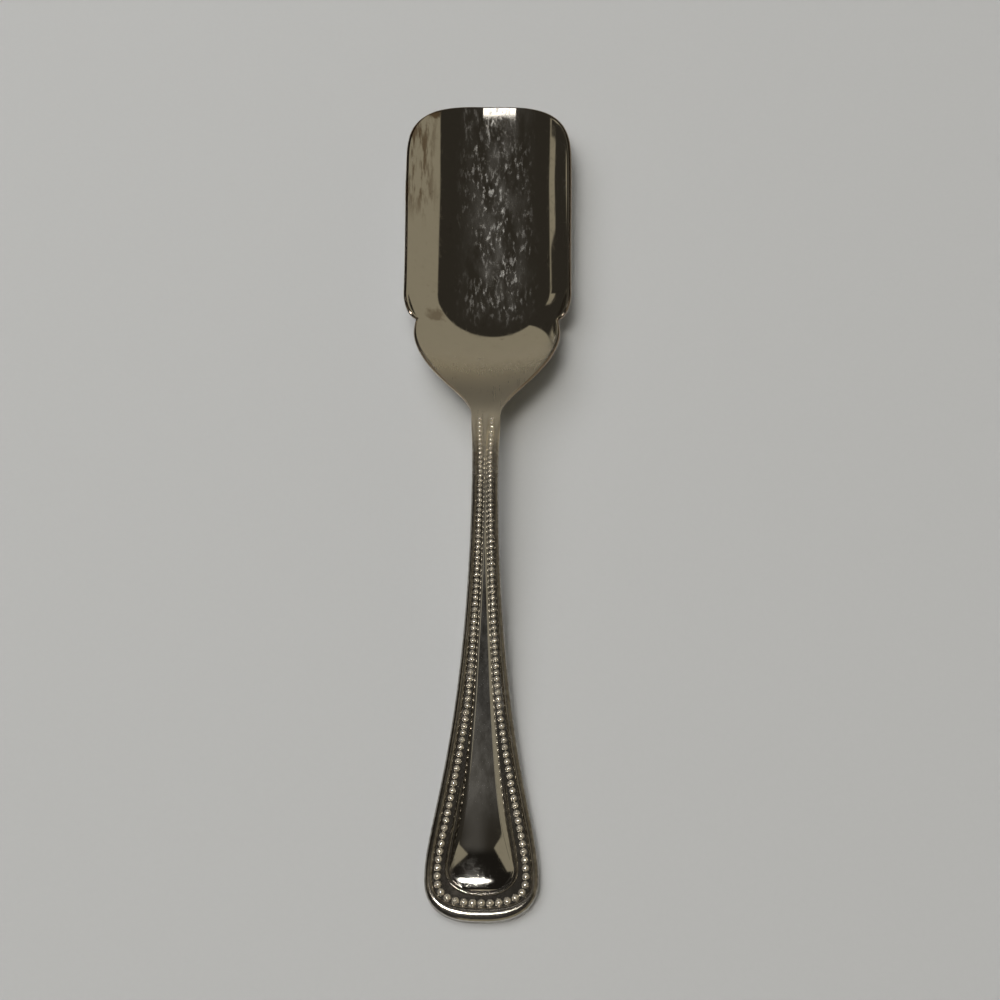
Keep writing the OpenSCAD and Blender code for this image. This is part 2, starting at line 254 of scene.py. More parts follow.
class NodeBench:
    """Adds and links the nodes of one tree."""

    def __init__(self, tree: bpy.types.NodeTree) -> None:
        """Keeps the tree that the nodes go into."""
        self.tree = tree

    def feed(self, socket: Socket, value: Input) -> None:
        """Links a socket to another one, or sets its own value.

        Args:
            socket: The socket that is fed.
            value: What it gets.
        """
        if isinstance(value, Socket):
            self.tree.links.new(value, socket)
        else:
            socket.default_value = value

    def add(self, kind: str, inputs: Inputs | None = None, **settings: object) -> bpy.types.Node:
        """Adds a node.

        Args:
            kind: Type name of the node.
            inputs: Values or sockets for its inputs, by name or by place.
            settings: Properties of the node.

        Returns:
            The new node.
        """
        node = self.tree.nodes.new(kind)
        for key, value in settings.items():
            setattr(node, key, value)
        for key, value in (inputs or {}).items():
            self.feed(node.inputs[key], value)
        return node

    def out(self, kind: str, inputs: Inputs | None = None, **settings: object) -> Socket:
        """First output of a new node."""
        return self.add(kind, inputs, **settings).outputs[0]

    def axes(self, vector: Input) -> bpy.types.NodeOutputs:
        """The three parts of a vector."""
        return self.add("ShaderNodeSeparateXYZ", {0: vector}).outputs

    def math(self, operation: str, *values: Input) -> Socket:
        """Result of a Math node on one, two or three values."""
        return self.out("ShaderNodeMath", dict(enumerate(values)), operation=operation)

    def chain(self, operation: str, *values: Input) -> Socket:
        """Takes several values into an operation of two, one after the other.

        Args:
            operation: Name of the Math node's operation.
            values: The values, in order.

        Returns:
            The last result.
        """
        result = values[0]
        for value in values[1:]:
            result = self.math(operation, result, value)
        return result

    def total(self, *values: Input) -> Socket:
        """Sum of several values."""
        return self.chain("ADD", *values)

    def product(self, *values: Input) -> Socket:
        """Product of several values."""
        return self.chain("MULTIPLY", *values)

    def most(self, *values: Input) -> Socket:
        """Largest of several values."""
        return self.chain("MAXIMUM", *values)

    def less(self, value: Input, taken: Input) -> Socket:
        """A value less another one."""
        return self.math("SUBTRACT", value, taken)

    def line(self, value: Input, gain: Input, base: Input) -> Socket:
        """A value times a gain, plus a base."""
        return self.math("MULTIPLY_ADD", value, gain, base)

    def band(self, value: Input, low: float, high: float) -> Socket:
        """Smooth step of a value from 0 at low to 1 at high."""
        inputs = {"Value": value, "From Min": low, "From Max": high}
        return self.out("ShaderNodeMapRange", inputs, interpolation_type="SMOOTHSTEP")

    def mapped(self, vector: Input, scale: tuple, turn: float = 0.0, move: tuple = (0, 0, 0)) -> Socket:
        """Coordinates that are turned about Z by an angle in degrees, then stretched and moved."""
        turned = self.out("ShaderNodeMapping", {"Vector": vector, "Rotation": (0, 0, math.radians(turn))})
        return self.out("ShaderNodeMapping", {"Vector": turned, "Scale": scale, "Location": move})

    def noise(self, vector: Input, scale: float, detail: float = 2.0, roughness: float = 0.5) -> Socket:
        """Noise of a given scale."""
        inputs = {"Vector": vector, "Scale": scale, "Detail": detail, "Roughness": roughness}
        return self.add("ShaderNodeTexNoise", inputs).outputs["Fac"]

    def blend(self, share: Input, first: Input, second: Input) -> Socket:
        """Colour that goes from the first to the second with a share.

        Args:
            share: Share of the second colour.
            first: A colour.
            second: Another colour.

        Returns:
            The mixed colour.
        """
        node = self.add("ShaderNodeMix", data_type="RGBA")
        for key, value in (("Factor", share), (6, first), (7, second)):
            self.feed(node.inputs[key], value if isinstance(value, (Socket, float)) else (*value, 1.0))
        return node.outputs[2]


class PlateBench(NodeBench):
    """Bench of a finish, with the place on the piece in millimetres and the mark for the depth in a groove
    and for painted shade.
    """

    def __init__(self, tree: bpy.types.NodeTree) -> None:
        """Adds the nodes that every finish starts from.

        Args:
            tree: Tree of the finish.
        """
        super().__init__(tree)
        metres = self.add("ShaderNodeTexCoord").outputs["Object"]
        self.place = self.out("ShaderNodeVectorMath", {0: metres, "Scale": 1 / MM}, operation="SCALE")
        self.x, self.y, _ = self.axes(self.place)
        self.groove_and_shade = self.add("ShaderNodeAttribute", attribute_name=TARNISH_AND_SHADE).outputs["Fac"]


@dataclass(frozen=True)
class Blotches:
    """Soft-edged blotches, cut out of noise between the values at which they begin and are full."""

    scale: float
    begin: float
    full: float
    detail: float = 2.0
    roughness: float = 0.5
    stretch: tuple | None = None

    def share(self, bench: NodeBench, place: Socket) -> Socket:
        """Share of the blotches at a place.

        Args:
            bench: Bench of the finish.
            place: The place on the piece.

        Returns:
            0 between the blotches, 1 inside.
        """
        if self.stretch:
            place = bench.mapped(place, self.stretch)
        noise = bench.noise(place, self.scale, self.detail, self.roughness)
        return bench.band(noise, self.begin, self.full)


@dataclass(frozen=True)
class PlateFinish:
    """Worn silver plate: polished and scratched, with haze, tarnish in its grooves, painted shade on marked
    edges and a satin neck.
    """

    name: str
    colour: Colour = (0.80, 0.775, 0.73)
    polish: float = 0.08
    most_rough: float = 0.8
    tarnish_and_shade: Colour = (0.07, 0.05, 0.031)
    tarnish_and_shade_share: float = 0.8
    tarnish_rough: float = 0.14
    # Noise that breaks up the tarnish and painted shade, its strength, and the depths between which they set
    # in
    tarnish_noise: tuple = (1.1, 4.0, 0.6)
    tarnish_ragged: float = 0.7
    tarnish_depth: tuple = (0.75, 1.5)
    haze: Blotches = Blotches(0.32, 0.48, 0.78, 5.0, 0.62)
    haze_rough: float = 0.08
    # Share of a darker tone in the haze, and how dark that is next to the plate
    haze_share: float = 0.22
    haze_shade: float = 0.8
    scratch_rough: float = 0.12
    scratch_height: float = 0.0006 * MM
    scratch_stretch: tuple = (7.0, 0.22, 0.5)
    scratch_lines: Blotches = Blotches(1.0, 0.66, 0.72, 1.0)
    # Shift between the patterns of one set of scratches and the next
    scratch_shift: float = 31.0
    # Sets of scratches: degrees from the scoop's length, and the patches that they keep to
    scratch_sets: tuple = (
        (4.0, Blotches(0.21, 0.42, 0.62)),
        (-27.0, Blotches(0.26, 0.42, 0.62)),
        (58.0, Blotches(0.31, 0.42, 0.62)),
    )
    ripple_height: float = 0.002 * MM
    ripple_scale: float = 0.16
    # Places along the scoop, in millimetres, between which the brushed satin sets in from either side
    satin_ends: tuple = ((-17.0, 4.0), (30.0, 16.0))
    satin_colour: Colour = (0.64, 0.575, 0.445)
    satin_rough: float = 0.2
    satin_matte: float = 0.14
    brush_rough: float = 0.14
    brush_stretch: tuple = (5.0, 0.12, 1.0)
    # Places between which the satin of the worn end sets in, and its share there
    worn_end: tuple = (-86.0, -95.0)
    worn_share: float = 0.0
    deposit: Colour = (0.66, 0.65, 0.62)
    deposit_matte: float = 0.5
    deposit_rough: float = 0.06

    def material(self) -> bpy.types.Material:
        """Builds the finish.

        Returns:
            A material that reads object coordinates, in millimetres, and the attribute of tarnish and painted
            shade.
        """
        material = bpy.data.materials.new(self.name)
        material.use_nodes = True
        bench = PlateBench(material.node_tree)
        shader = material.node_tree.nodes["Principled BSDF"]
        scratches, stain_and_shade = self.scratches(bench), self.stain_and_shade(bench)
        deposit, satin = self.deposits(bench), self.satin(bench)
        haze = self.haze.share(bench, bench.place)
        shaded = tuple(self.haze_shade * c for c in self.colour)
        tone = bench.blend(bench.product(haze, self.haze_share), self.colour, shaded)
        tone = bench.blend(satin, tone, self.satin_colour)
        tone = bench.blend(deposit, bench.blend(stain_and_shade, tone, self.tarnish_and_shade), self.deposit)
        bench.feed(shader.inputs["Base Color"], tone)
        matte = bench.total(
            bench.product(deposit, self.deposit_matte),
            bench.product(satin, self.satin_matte),
        )
        bench.feed(shader.inputs["Metallic"], bench.less(1.0, matte))
        brushing = bench.noise(bench.mapped(bench.place, self.brush_stretch), 1.0)
        rough = bench.total(
            bench.product(haze, self.haze_rough),
            bench.product(scratches, self.scratch_rough),
            bench.product(stain_and_shade, self.tarnish_rough),
            bench.product(deposit, self.deposit_rough),
            bench.product(satin, bench.line(brushing, self.brush_rough, self.satin_rough)),
            self.polish,
        )
        bench.feed(shader.inputs["Roughness"], bench.math("MINIMUM", rough, self.most_rough))
        ripple = bench.noise(bench.place, self.ripple_scale, 1.0)
        height = bench.total(
            bench.product(scratches, -self.scratch_height),
            bench.product(ripple, self.ripple_height),
        )
        bump = bench.out("ShaderNodeBump", {"Strength": 1.0, "Distance": 1.0, "Height": height})
        bench.feed(shader.inputs["Normal"], bump)
        return material

    def scratches(self, bench: PlateBench) -> Socket:
        """Hairline scratches in a few directions.

        Args:
            bench: Bench of the finish.

        Returns:
            A value that is 1 in a scratch.
        """
        sets = []
        for k, (turn, patches) in enumerate(self.scratch_sets):
            shift = (self.scratch_shift * k, 0.0, 0.0)
            turned = bench.mapped(bench.place, self.scratch_stretch, turn, shift)
            lines = self.scratch_lines.share(bench, turned)
            sets.append(bench.product(lines, patches.share(bench, bench.place)))
        return bench.most(*sets)

    def stain_and_shade(self, bench: PlateBench) -> Socket:
        """Share of the brown tarnish that sits in the grooves, and of the painted shade on marked rims and
        edges.
        """
        ragged = bench.line(bench.noise(bench.place, *self.tarnish_noise), self.tarnish_ragged, bench.groove_and_shade)
        return bench.product(bench.band(ragged, *self.tarnish_depth), self.tarnish_and_shade_share)

    def satin(self, bench: PlateBench) -> Socket:
        """Share of the lengthwise brushing, which covers the neck, and of the worn end."""
        neck = bench.product(*(bench.band(bench.y, *ends) for ends in self.satin_ends))
        return bench.most(neck, bench.product(bench.band(bench.y, *self.worn_end), self.worn_share))

    def deposits(self, bench: PlateBench) -> Input:
        """Share of a dull, pale deposit: none on plain plate."""
        return 0.0


@dataclass(frozen=True)
class HandleFinish(PlateFinish):
    """Plate of the handle: its scratches are rubbed nearly smooth."""

    scratch_rough: float = 0.03
    scratch_height: float = 0.0002 * MM


@dataclass(frozen=True)
class BowlFinish(PlateFinish):
    """Plate of the bowl: dried flecks along its middle, and brown streaks and smudges on its left side."""

    polish: float = 0.03
    haze_rough: float = 0.05
    tarnish_and_shade: Colour = (0.2, 0.12, 0.06)
    # Where the flecks and clouds lie, in millimetres
    cloud_middle: float = 2.0
    cloud_half_width: float = 10.5
    cloud_from: tuple = (33.0, 46.0)
    flecks: Blotches = Blotches(1.2, 0.53, 0.68, 4.0, 0.6, (1.0, 0.32, 1.0))
    fleck_patches: Blotches = Blotches(0.26, 0.38, 0.6, 3.0, 0.5, (1.0, 0.32, 1.0))
    fleck_share: float = 0.95
    clouds: Blotches = Blotches(0.3, 0.36, 0.72, 5.0, 0.65, (1.0, 0.32, 1.0))
    cloud_share: float = 0.16
    # Where the streaks set in across and along the bowl
    streaks_aside: tuple = (-11.0, -16.0)
    streaks_along: tuple = (58.0, 72.0)
    streaks: Blotches = Blotches(0.75, 0.45, 0.62, 5.0, 0.6, (1.0, 0.16, 0.7))
    streak_share: float = 0.78
    spots: Blotches = Blotches(0.5, 0.6, 0.78, 4.0, 0.6)
    spot_share: float = 0.25
    # Share of the painted shade that darkens the rim
    rim_shade_share: float = 0.7
    # Places of the smudges, in millimetres, with their radius and share
    smudges: tuple = ((-11.6, 36.5, 2.6, 0.5), (-13.6, 95.0, 2.6, 0.85))
    smudge_noise: tuple = (0.45, 4.0, 0.6)
    # Gain and base of the noise that makes a smudge ragged, and where it starts and is full, in radii
    smudge_ragged: tuple = (1.6, -0.8)
    smudge_edge: tuple = (1.0, 0.4)

    def deposits(self, bench: PlateBench) -> Socket:
        """Dried flecks and clouds along the floor's middle.

        Args:
            bench: Bench of the finish.

        Returns:
            Share of the deposit.
        """
        offset = bench.math("ABSOLUTE", bench.less(bench.x, self.cloud_middle))
        flecks, patches, clouds = (
            blotches.share(bench, bench.place) for blotches in (self.flecks, self.fleck_patches, self.clouds)
        )
        both = bench.total(
            bench.product(flecks, patches, self.fleck_share),
            bench.product(clouds, self.cloud_share),
        )
        across = bench.band(offset, self.cloud_half_width, 0.0)
        return bench.product(across, bench.band(bench.y, *self.cloud_from), both)

    def stain_and_shade(self, bench: PlateBench) -> Socket:
        """Brown streaks along the left wall, spots, painted shade that darkens the rim, and a few smudges.

        Args:
            bench: Bench of the finish.

        Returns:
            Share of tarnish and painted shade.
        """
        aside, along = bench.band(bench.x, *self.streaks_aside), bench.band(bench.y, *self.streaks_along)
        result = bench.total(
            bench.product(aside, along, self.streaks.share(bench, bench.place), self.streak_share),
            bench.product(self.spots.share(bench, bench.place), self.spot_share),
            bench.product(bench.groove_and_shade, self.rim_shade_share),
        )
        plan = bench.out("ShaderNodeCombineXYZ", {"X": bench.x, "Y": bench.y})
        ragged = bench.line(bench.noise(bench.place, *self.smudge_noise), *self.smudge_ragged)
        for x, y, radius, share in self.smudges:
            away = bench.add("ShaderNodeVectorMath", {0: plan, 1: (x, y, 0.0)}, operation="DISTANCE")
            reach = bench.line(away.outputs["Value"], 1 / radius, ragged)
            result = bench.most(result, bench.product(bench.band(reach, *self.smudge_edge), share))
        return result


@dataclass(frozen=True)
class PanelFinish(PlateFinish):
    """Plate of the panel: a scratched haze on its upper part and a bright nose."""

    colour: Colour = (0.78, 0.765, 0.735)
    polish: float = 0.05
    scratch_rough: float = 0.05
    ripple_height: float = 0.003 * MM
    ripple_scale: float = 0.45
    deposit: Colour = (0.56, 0.53, 0.47)
    mottle: Blotches = Blotches(0.55, 0.3, 0.72, 5.0, 0.65, (1.0, 0.4, 1.0))
    least_haze: float = 0.03
    most_haze: float = 0.16
    # Where the haze sets in along the scoop, in millimetres, and up to which depth on the sides
    haze_from: tuple = (-84.0, -72.0)
    haze_depth: tuple = (0.35, 0.0)

    def deposits(self, bench: PlateBench) -> Socket:
        """Mottled haze that fades out towards the nose and on the sides.

        Args:
            bench: Bench of the finish.

        Returns:
            Share of the haze.
        """
        mottle = self.mottle.share(bench, bench.place)
        share = bench.line(mottle, self.most_haze - self.least_haze, self.least_haze)
        along = bench.band(bench.y, *self.haze_from)
        return bench.product(share, along, bench.band(bench.groove_and_shade, *self.haze_depth))


@dataclass(frozen=True)
class BeadFinish(PlateFinish):
    """Plate of the beads: rubbed to a pale, soft shine, also at the neck."""

    colour: Colour = (0.94, 0.885, 0.775)
    polish: float = 0.2
    satin_colour: Colour = (0.94, 0.885, 0.775)
    satin_rough: float = 0.0
    satin_matte: float = 0.0
    brush_rough: float = 0.0
    deposit: Colour = (0.9, 0.83, 0.7)
    deposit_matte: float = 0.4
    rubbed: float = 0.5
    # Noise that makes the wear uneven from bead to bead, with its gain and base
    uneven_noise: tuple = (0.7, 3.0)
    uneven: tuple = (0.8, 0.6)

    def deposits(self, bench: PlateBench) -> Socket:
        """Share of the rubbed wear."""
        uneven = bench.line(bench.noise(bench.place, *self.uneven_noise), *self.uneven)
        return bench.product(uneven, self.rubbed)


@dataclass(frozen=True)
class HandleShape:
    """Outline, face and back of the handle, which its border and panel also follow."""

    end_y: float
    joint_y: float
    neck_z: float
    grip_w: float
    sheet_t: float = 1.0 * MM
    rest_flat: float = 0.12 * MM
    neck_w: float = 6.2 * MM
    neck_t: float = 2.6 * MM
    stem_w: float = 5.6 * MM
    stem_t: float = 3.2 * MM
    waist_pos: float = 11.0 * MM
    grip_t: float = 2.5 * MM
    edge_t: float = 1.2 * MM
    end_len: float = 8.5 * MM
    end_power: float = 2.5
    end_drop: float = 0.8 * MM
    end_t: float = 1.35 * MM
    rest_pos: float = 16.0 * MM
    stem_share: float = 0.674
    grip_share: float = 0.133
    stem_back: float = 2.0
    grip_back: float = 8.0
    stem_inset: float = 1.74 * MM
    grip_inset: float = 2.5 * MM
    end_inset: float = 3.5 * MM
    stem_panel_gap: float = 0.62 * MM
    grip_panel_gap: float = 2.2 * MM
    # Half-width at which the border has its full size, as a share of the grip's width
    border_full: float = 0.27
    # Half-widths between which the panel's gap grows, as shares of the stem's and of the grip's width
    panel_gap_from: float = 0.75
    panel_gap_full: float = 0.45
    panel_round_len: float = 5.0 * MM
    # Room between the last point of the panel's side and its rounded end
    panel_round_room: float = 0.1 * MM
    panel_power: float = 2.4
    neck_steps: int = 24
    stem_steps: int = 150
    end_steps: int = 60

    @classmethod
    def from_frame(cls) -> "HandleShape":
        """Takes the handle's reach from the part's handle node."""
        low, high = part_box("handle")
        return cls(end_y=low.y, joint_y=high.y, neck_z=high.z, grip_w=high.x - low.x)

    @property
    def rest_y(self) -> float:
        """Place along the scoop where the grip rests."""
        return self.end_y + self.rest_pos

    @property
    def wide_y(self) -> float:
        """Place where the grip is widest."""
        return self.end_y + self.end_len

    @property
    def waist_y(self) -> float:
        """Place where the stem is narrowest."""
        return self.joint_y - self.waist_pos

    def outline(self) -> np.ndarray:
        """Right-hand outline in plan, from the neck joint to the middle of the end.

        Returns:
            Points in plan, in order.
        """
        t = steps(self.neck_steps)
        neck = (mix(self.neck_w, self.stem_w, ease(t)) / 2, mix(self.joint_y, self.waist_y, t))
        t = steps(self.stem_steps)
        along = bezier(0.0, self.stem_share, 1 - self.grip_share, 1.0, t)
        width = bezier(self.stem_w, self.stem_w, self.grip_w, self.grip_w, t)
        stem = (width / 2, mix(self.waist_y, self.wide_y, along))
        across, reach = round_end(self.end_power, self.end_steps)
        end = (self.grip_w / 2 * across, self.wide_y - self.end_len * reach)
        return joined(neck, stem, end)

    def to_end(self, y: np.ndarray) -> np.ndarray:
        """Share of the end's shape: 0 at the resting place, 1 at the end."""
        return (np.maximum(0.0, self.rest_y - y) / self.rest_pos) ** 2

    def face_z(self, y: np.ndarray) -> np.ndarray:
        """Height of the face, which turns down at the end and rises to the neck.

        Args:
            y: Places along the scoop.

        Returns:
            Height at each place.
        """
        rest_z = self.grip_t - self.rest_flat
        tail = rest_z - self.end_drop * self.to_end(y)
        rise = mix(rest_z, self.neck_z, ease((y - self.rest_y) / (self.joint_y - self.rest_y)))
        return np.where(y < self.rest_y, tail, rise)

    def on_face(self, plan: np.ndarray) -> np.ndarray:
        """Places of the face over places in plan."""
        return raised(plan, self.face_z(plan[..., 1]))

    def grip_part(self, y: np.ndarray) -> np.ndarray:
        """Share of the grip in the section: 1 on the grip, 0 on the stem."""
        return 1 - ease((y - self.rest_y) / (self.waist_y - self.rest_y))

    def depth(self, y: np.ndarray, u: np.ndarray) -> np.ndarray:
        """Thickness under the face, which is least at the edge.

        Args:
            y: Places along the scoop.
            u: Shares of the way from the middle to the edge.

        Returns:
            Thickness at each place.
        """
        grip = self.grip_part(y)
        to_neck = mix(self.stem_t, self.neck_t, ease((y - self.waist_y) / self.waist_pos))
        to_grip = mix(mix(self.stem_t, self.grip_t, grip), self.end_t, self.to_end(y))
        middle = np.where(y < self.waist_y, to_grip, to_neck)
        edge = mix(self.sheet_t, self.edge_t, grip)
        return mix(middle, edge, u ** mix(self.stem_back, self.grip_back, grip))

    def spread(self, points: np.ndarray, start: float, stop: float) -> np.ndarray:
        """Share of the grip's border sizes, which grow with the half-width."""
        return np.where(points[:, 1] < self.wide_y, 1.0, ease((points[:, 0] - start) / (stop - start)))

    def border_share(self, points: np.ndarray) -> np.ndarray:
        """Share of the grip's sizes in the edge moulding and the bead row."""
        return self.spread(points, self.stem_w / 2, self.grip_w * self.border_full)

    def end_part(self, points: np.ndarray) -> np.ndarray:
        """Share of the end's sizes in the border."""
        return (np.maximum(0.0, self.wide_y - points[:, 1]) / self.end_len) ** 2

    def bead_inset(self, points: np.ndarray) -> np.ndarray:
        """Distance from the edge to the bead row."""
        side = mix(self.stem_inset, self.grip_inset, self.border_share(points))
        return mix(side, self.end_inset, self.end_part(points))

    def panel_gap(self, points: np.ndarray) -> np.ndarray:
        """Distance from the bead row to the panel."""
        share = self.spread(points, self.stem_w * self.panel_gap_from, self.grip_w * self.panel_gap_full)
        return mix(self.stem_panel_gap, self.grip_panel_gap, share)

    def inset(self, share: float) -> np.ndarray:
        """Outline moved in to the bead row, then by a share of the gap to the panel.

        Args:
            share: Share of the gap between the bead row and the panel.

        Returns:
            Points in plan, one for each point of the outline.
        """
        points = self.outline()
        distance = self.bead_inset(points) + share * self.panel_gap(points)
        return points - distance[:, None] * outward(points)

    @property
    def panel_end_y(self) -> float:
        """Place of the panel's end."""
        return self.end_y + self.end_inset + self.grip_panel_gap

    def panel_half(self, y: np.ndarray) -> np.ndarray:
        """Half-width of the panel between its sides, without its rounded end."""
        side = self.inset(1.0)[self.outline()[:, 1] >= self.wide_y]
        return np.interp(-y, -side[:, 1], side[:, 0])

    def panel_outline(self) -> np.ndarray:
        """Right-hand outline of the panel in plan, from the neck joint to the middle of its rounded end.

        Returns:
            Points in plan, in order.
        """
        round_y = self.panel_end_y + self.panel_round_len
        side = self.inset(1.0)
        side = side[side[:, 1] > round_y + self.panel_round_room]
        across, reach = round_end(self.panel_power, self.end_steps)
        y = round_y - self.panel_round_len * reach
        return np.concatenate([side, joined((self.panel_half(y) * across, y))])


def dressed(piece: bpy.types.Object, material: bpy.types.Material, node: str) -> None:
    """Gives a piece its finish and its place in the part.

    Args:
        piece: The finished mesh object.
        material: Its finish.
        node: Node of the part that it stands for.
    """
    piece.data.materials.clear()
    piece.data.materials.append(material)
    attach(piece, BODY)
    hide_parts(node)
    log.info("%s: %d faces", piece.name, len(piece.data.polygons))


@dataclass
class Bowl:
    """The trough-shaped bowl of sheet, with a rounded rim, cusped shoulders and a closed heel."""

    handle: HandleShape
    tip_y: float
    width: float = 37.0 * MM
    depth: float = 8.0 * MM
    tip_len: float = 22.0 * MM
    tip_flare: float = 0.5 * MM
    tip_power: float = 2.4
    tip_rise: float = 1.2 * MM
    tip_rise_len: float = 26.0 * MM
    heel_len: float = 36.0 * MM
    shoulder_in: float = 2.5 * MM
    shoulder_pos: float = 23.6 * MM
    notch_in: float = 2.8 * MM
    notch_pos: float = 27.5 * MM
    lobe_len: float = 6.7 * MM
    heel_neck_pull: float = 5.6 * MM
    heel_lobe_pull: float = 11.4 * MM
    least_lift: float = 0.03 * MM
    spread_power: float = 0.55
    thinning_share: float = 0.7
    rim_fade: float = 14.0 * MM
    # Distance over which the slope along the bowl is measured
    slope_step: float = 0.05 * MM
    columns: int = 96
    rim_steps: int = 9
    heel_steps: int = 48
    lower_lobe_steps: int = 10
    upper_lobe_steps: int = 24
    side_steps: int = 30
    tip_steps: int = 64
    fan_steps: int = 7

    @property
    def joint_y(self) -> float:
        """Place of the neck joint."""
        return self.handle.joint_y

    @property
    def floor_z(self) -> float:
        """Height of the floor inside."""
        return self.handle.sheet_t - self.handle.rest_flat

    def floor(self, y: np.ndarray) -> np.ndarray:
        """Height of the floor along the middle, which rises to the neck and to the tip.

        Args:
            y: Places along the scoop.

        Returns:
            Height at each place.
        """
        heel_y = self.joint_y + self.heel_len
        heel = mix(self.floor_z, self.handle.neck_z, ease((heel_y - y) / self.heel_len))
        rise = np.maximum(0.0, y - self.tip_y + self.tip_rise_len) / self.tip_rise_len
        return np.where(y < heel_y, heel, self.floor_z + self.tip_rise * rise**2)

    def radius(self, y: np.ndarray) -> np.ndarray:
        """Radius of the cross-section, from the rim's lift over the floor.

        Args:
            y: Places along the scoop.

        Returns:
            Radius at each place.
        """
        t = np.clip((y - self.joint_y) / self.heel_len, 0.0, 1.0)
        half = mix(self.handle.neck_w, self.width, ease(t**self.spread_power)) / 2
        rim = mix(self.handle.neck_z, self.floor_z + self.depth, ease(t))
        lift = np.where(t < 1, np.maximum(rim - self.floor(y), self.least_lift), self.depth)
        return (half**2 + lift**2) / (2 * lift)

    def height(self, x: np.ndarray, y: np.ndarray) -> np.ndarray:
        """Height of the inner surface."""
        r = self.radius(y)
        return self.floor(y) + r - np.sqrt(r * r - x * x)

    def surface(self, x: np.ndarray, y: np.ndarray) -> np.ndarray:
        """Points of the inner surface."""
        return np.stack(np.broadcast_arrays(x, y, self.height(x, y)), axis=-1)

    def slopes(self, x: np.ndarray, y: np.ndarray) -> tuple[np.ndarray, np.ndarray]:
        """Slopes of the inner surface.

        Args:
            x: Places across the bowl.
            y: Places along the scoop.

        Returns:
            The slopes across and along.
        """
        before, after = np.maximum(y - self.slope_step, self.joint_y), y + self.slope_step
        along = (self.height(x, after) - self.height(x, before)) / (after - before)
        return x / np.sqrt(self.radius(y) ** 2 - x * x), np.where(y <= self.joint_y, 0.0, along)

    def normal(self, x: np.ndarray, y: np.ndarray) -> np.ndarray:
        """Unit vectors out of the hollow side."""
        across, along = self.slopes(x, y)
        return unit(np.stack([-across, -along, np.ones_like(across)], axis=-1))

    def end_direction(self, x: np.ndarray, y: np.ndarray) -> np.ndarray:
        """Unit vectors along the surface that point over the tip's edge.

        Args:
            x: Places across the bowl.
            y: Places along the scoop.

        Returns:
            The vectors, one at each place.
        """
        across = self.slopes(x, y)[0]
        back = np.stack([-np.ones_like(across), np.zeros_like(across), -across], axis=-1)
        return unit(np.cross(back, self.normal(x, y)))

    def thickness(self, y: np.ndarray, u: np.ndarray) -> np.ndarray:
        """Thickness, which is the sheet's but for the middle of the neck."""
        thinning = ease((y - self.joint_y) / (self.heel_len * self.thinning_share))
        return mix(mix(self.handle.neck_t, self.handle.sheet_t, thinning), self.handle.sheet_t, u * u)

    def edges(self) -> tuple[np.ndarray, np.ndarray]:
        """Right-hand edge in plan.

        Returns:
            The edge from the neck joint to the notch, and from the notch to the tip.
        """
        shoulder, notch = self.width / 2 - self.shoulder_in, self.width / 2 - self.notch_in
        shoulder_y, notch_y = self.joint_y + self.shoulder_pos, self.joint_y + self.notch_pos
        lobe_y, round_y = notch_y + self.lobe_len, self.tip_y - self.tip_len
        t = steps(self.heel_steps)
        pull = bezier(0.0, self.heel_neck_pull, self.shoulder_pos - self.heel_lobe_pull, self.shoulder_pos, t)
        neck = self.handle.neck_w / 2
        heel = (bezier(neck, neck, shoulder, shoulder, t), self.joint_y + pull)
        t = steps(self.lower_lobe_steps, last=True)
        lower_lobe = (mix(shoulder, notch, t * t), mix(shoulder_y, notch_y, t))
        a = math.pi / 2 * steps(self.upper_lobe_steps)
        upper_lobe = (mix(notch, self.width / 2, np.sin(a)), lobe_y - self.lobe_len * np.cos(a))
        t = steps(self.side_steps)
        wide = self.width / 2 + self.tip_flare
        side = (mix(self.width / 2, wide, ease(t)), mix(lobe_y, round_y, t))
        across, reach = round_end(self.tip_power, self.tip_steps)
        tip = (wide * across, round_y + self.tip_len * reach)
        return joined(heel, lower_lobe), joined(upper_lobe, side, tip)

    def edge_directions(self, plan: np.ndarray) -> np.ndarray:
        """Unit vectors along the surface that point over an edge.

        Args:
            plan: Points of the edge in plan, in order.

        Returns:
            The vectors, one at each point.
        """
        x, y = plan[:, 0], plan[:, 1]
        along = np.gradient(self.surface(x, y), axis=0)
        return unit(np.cross(along, self.normal(x, y)))

    def rim(self) -> tuple[np.ndarray, np.ndarray]:
        """Right-hand rim, with a fan of directions round the point of the notch.

        Returns:
            Points of the edge in plan, and the directions over it.
        """
        lower, upper = self.edges()
        low_out, up_out = self.edge_directions(lower), self.edge_directions(upper)
        up_out[-1] = self.end_direction(upper[-1, 0], upper[-1, 1])
        fan = steps(self.fan_steps)[1:, None]
        turn = unit(mix(low_out[-1], up_out[0], fan))
        plan = np.concatenate([lower, np.repeat(upper[:1], len(fan), axis=0), upper])
        return plan, np.concatenate([low_out, turn, up_out])

    def build(self) -> bpy.types.Object:
        """Builds the bowl.

        Returns:
            The closed mesh object.
        """
        plan, out = self.rim()
        sheet = self.handle.sheet_t
        bulge = sheet / 2 * ease((plan[:, 1] - self.joint_y) / self.rim_fade)
        start = self.surface(plan[:, 0], plan[:, 1]) - bulge[:, None] * out
        edge_x, y = start[:, :1], start[:, 1:2]
        widest = np.arcsin(edge_x / self.radius(y))
        x = self.radius(y) * np.sin(widest * np.linspace(-1.0, 1.0, self.columns + 1))
        y = np.broadcast_to(y, x.shape)
        inner, normal = self.surface(x, y), self.normal(x, y)
        outer = inner - self.thickness(y, x / edge_x)[..., None] * normal
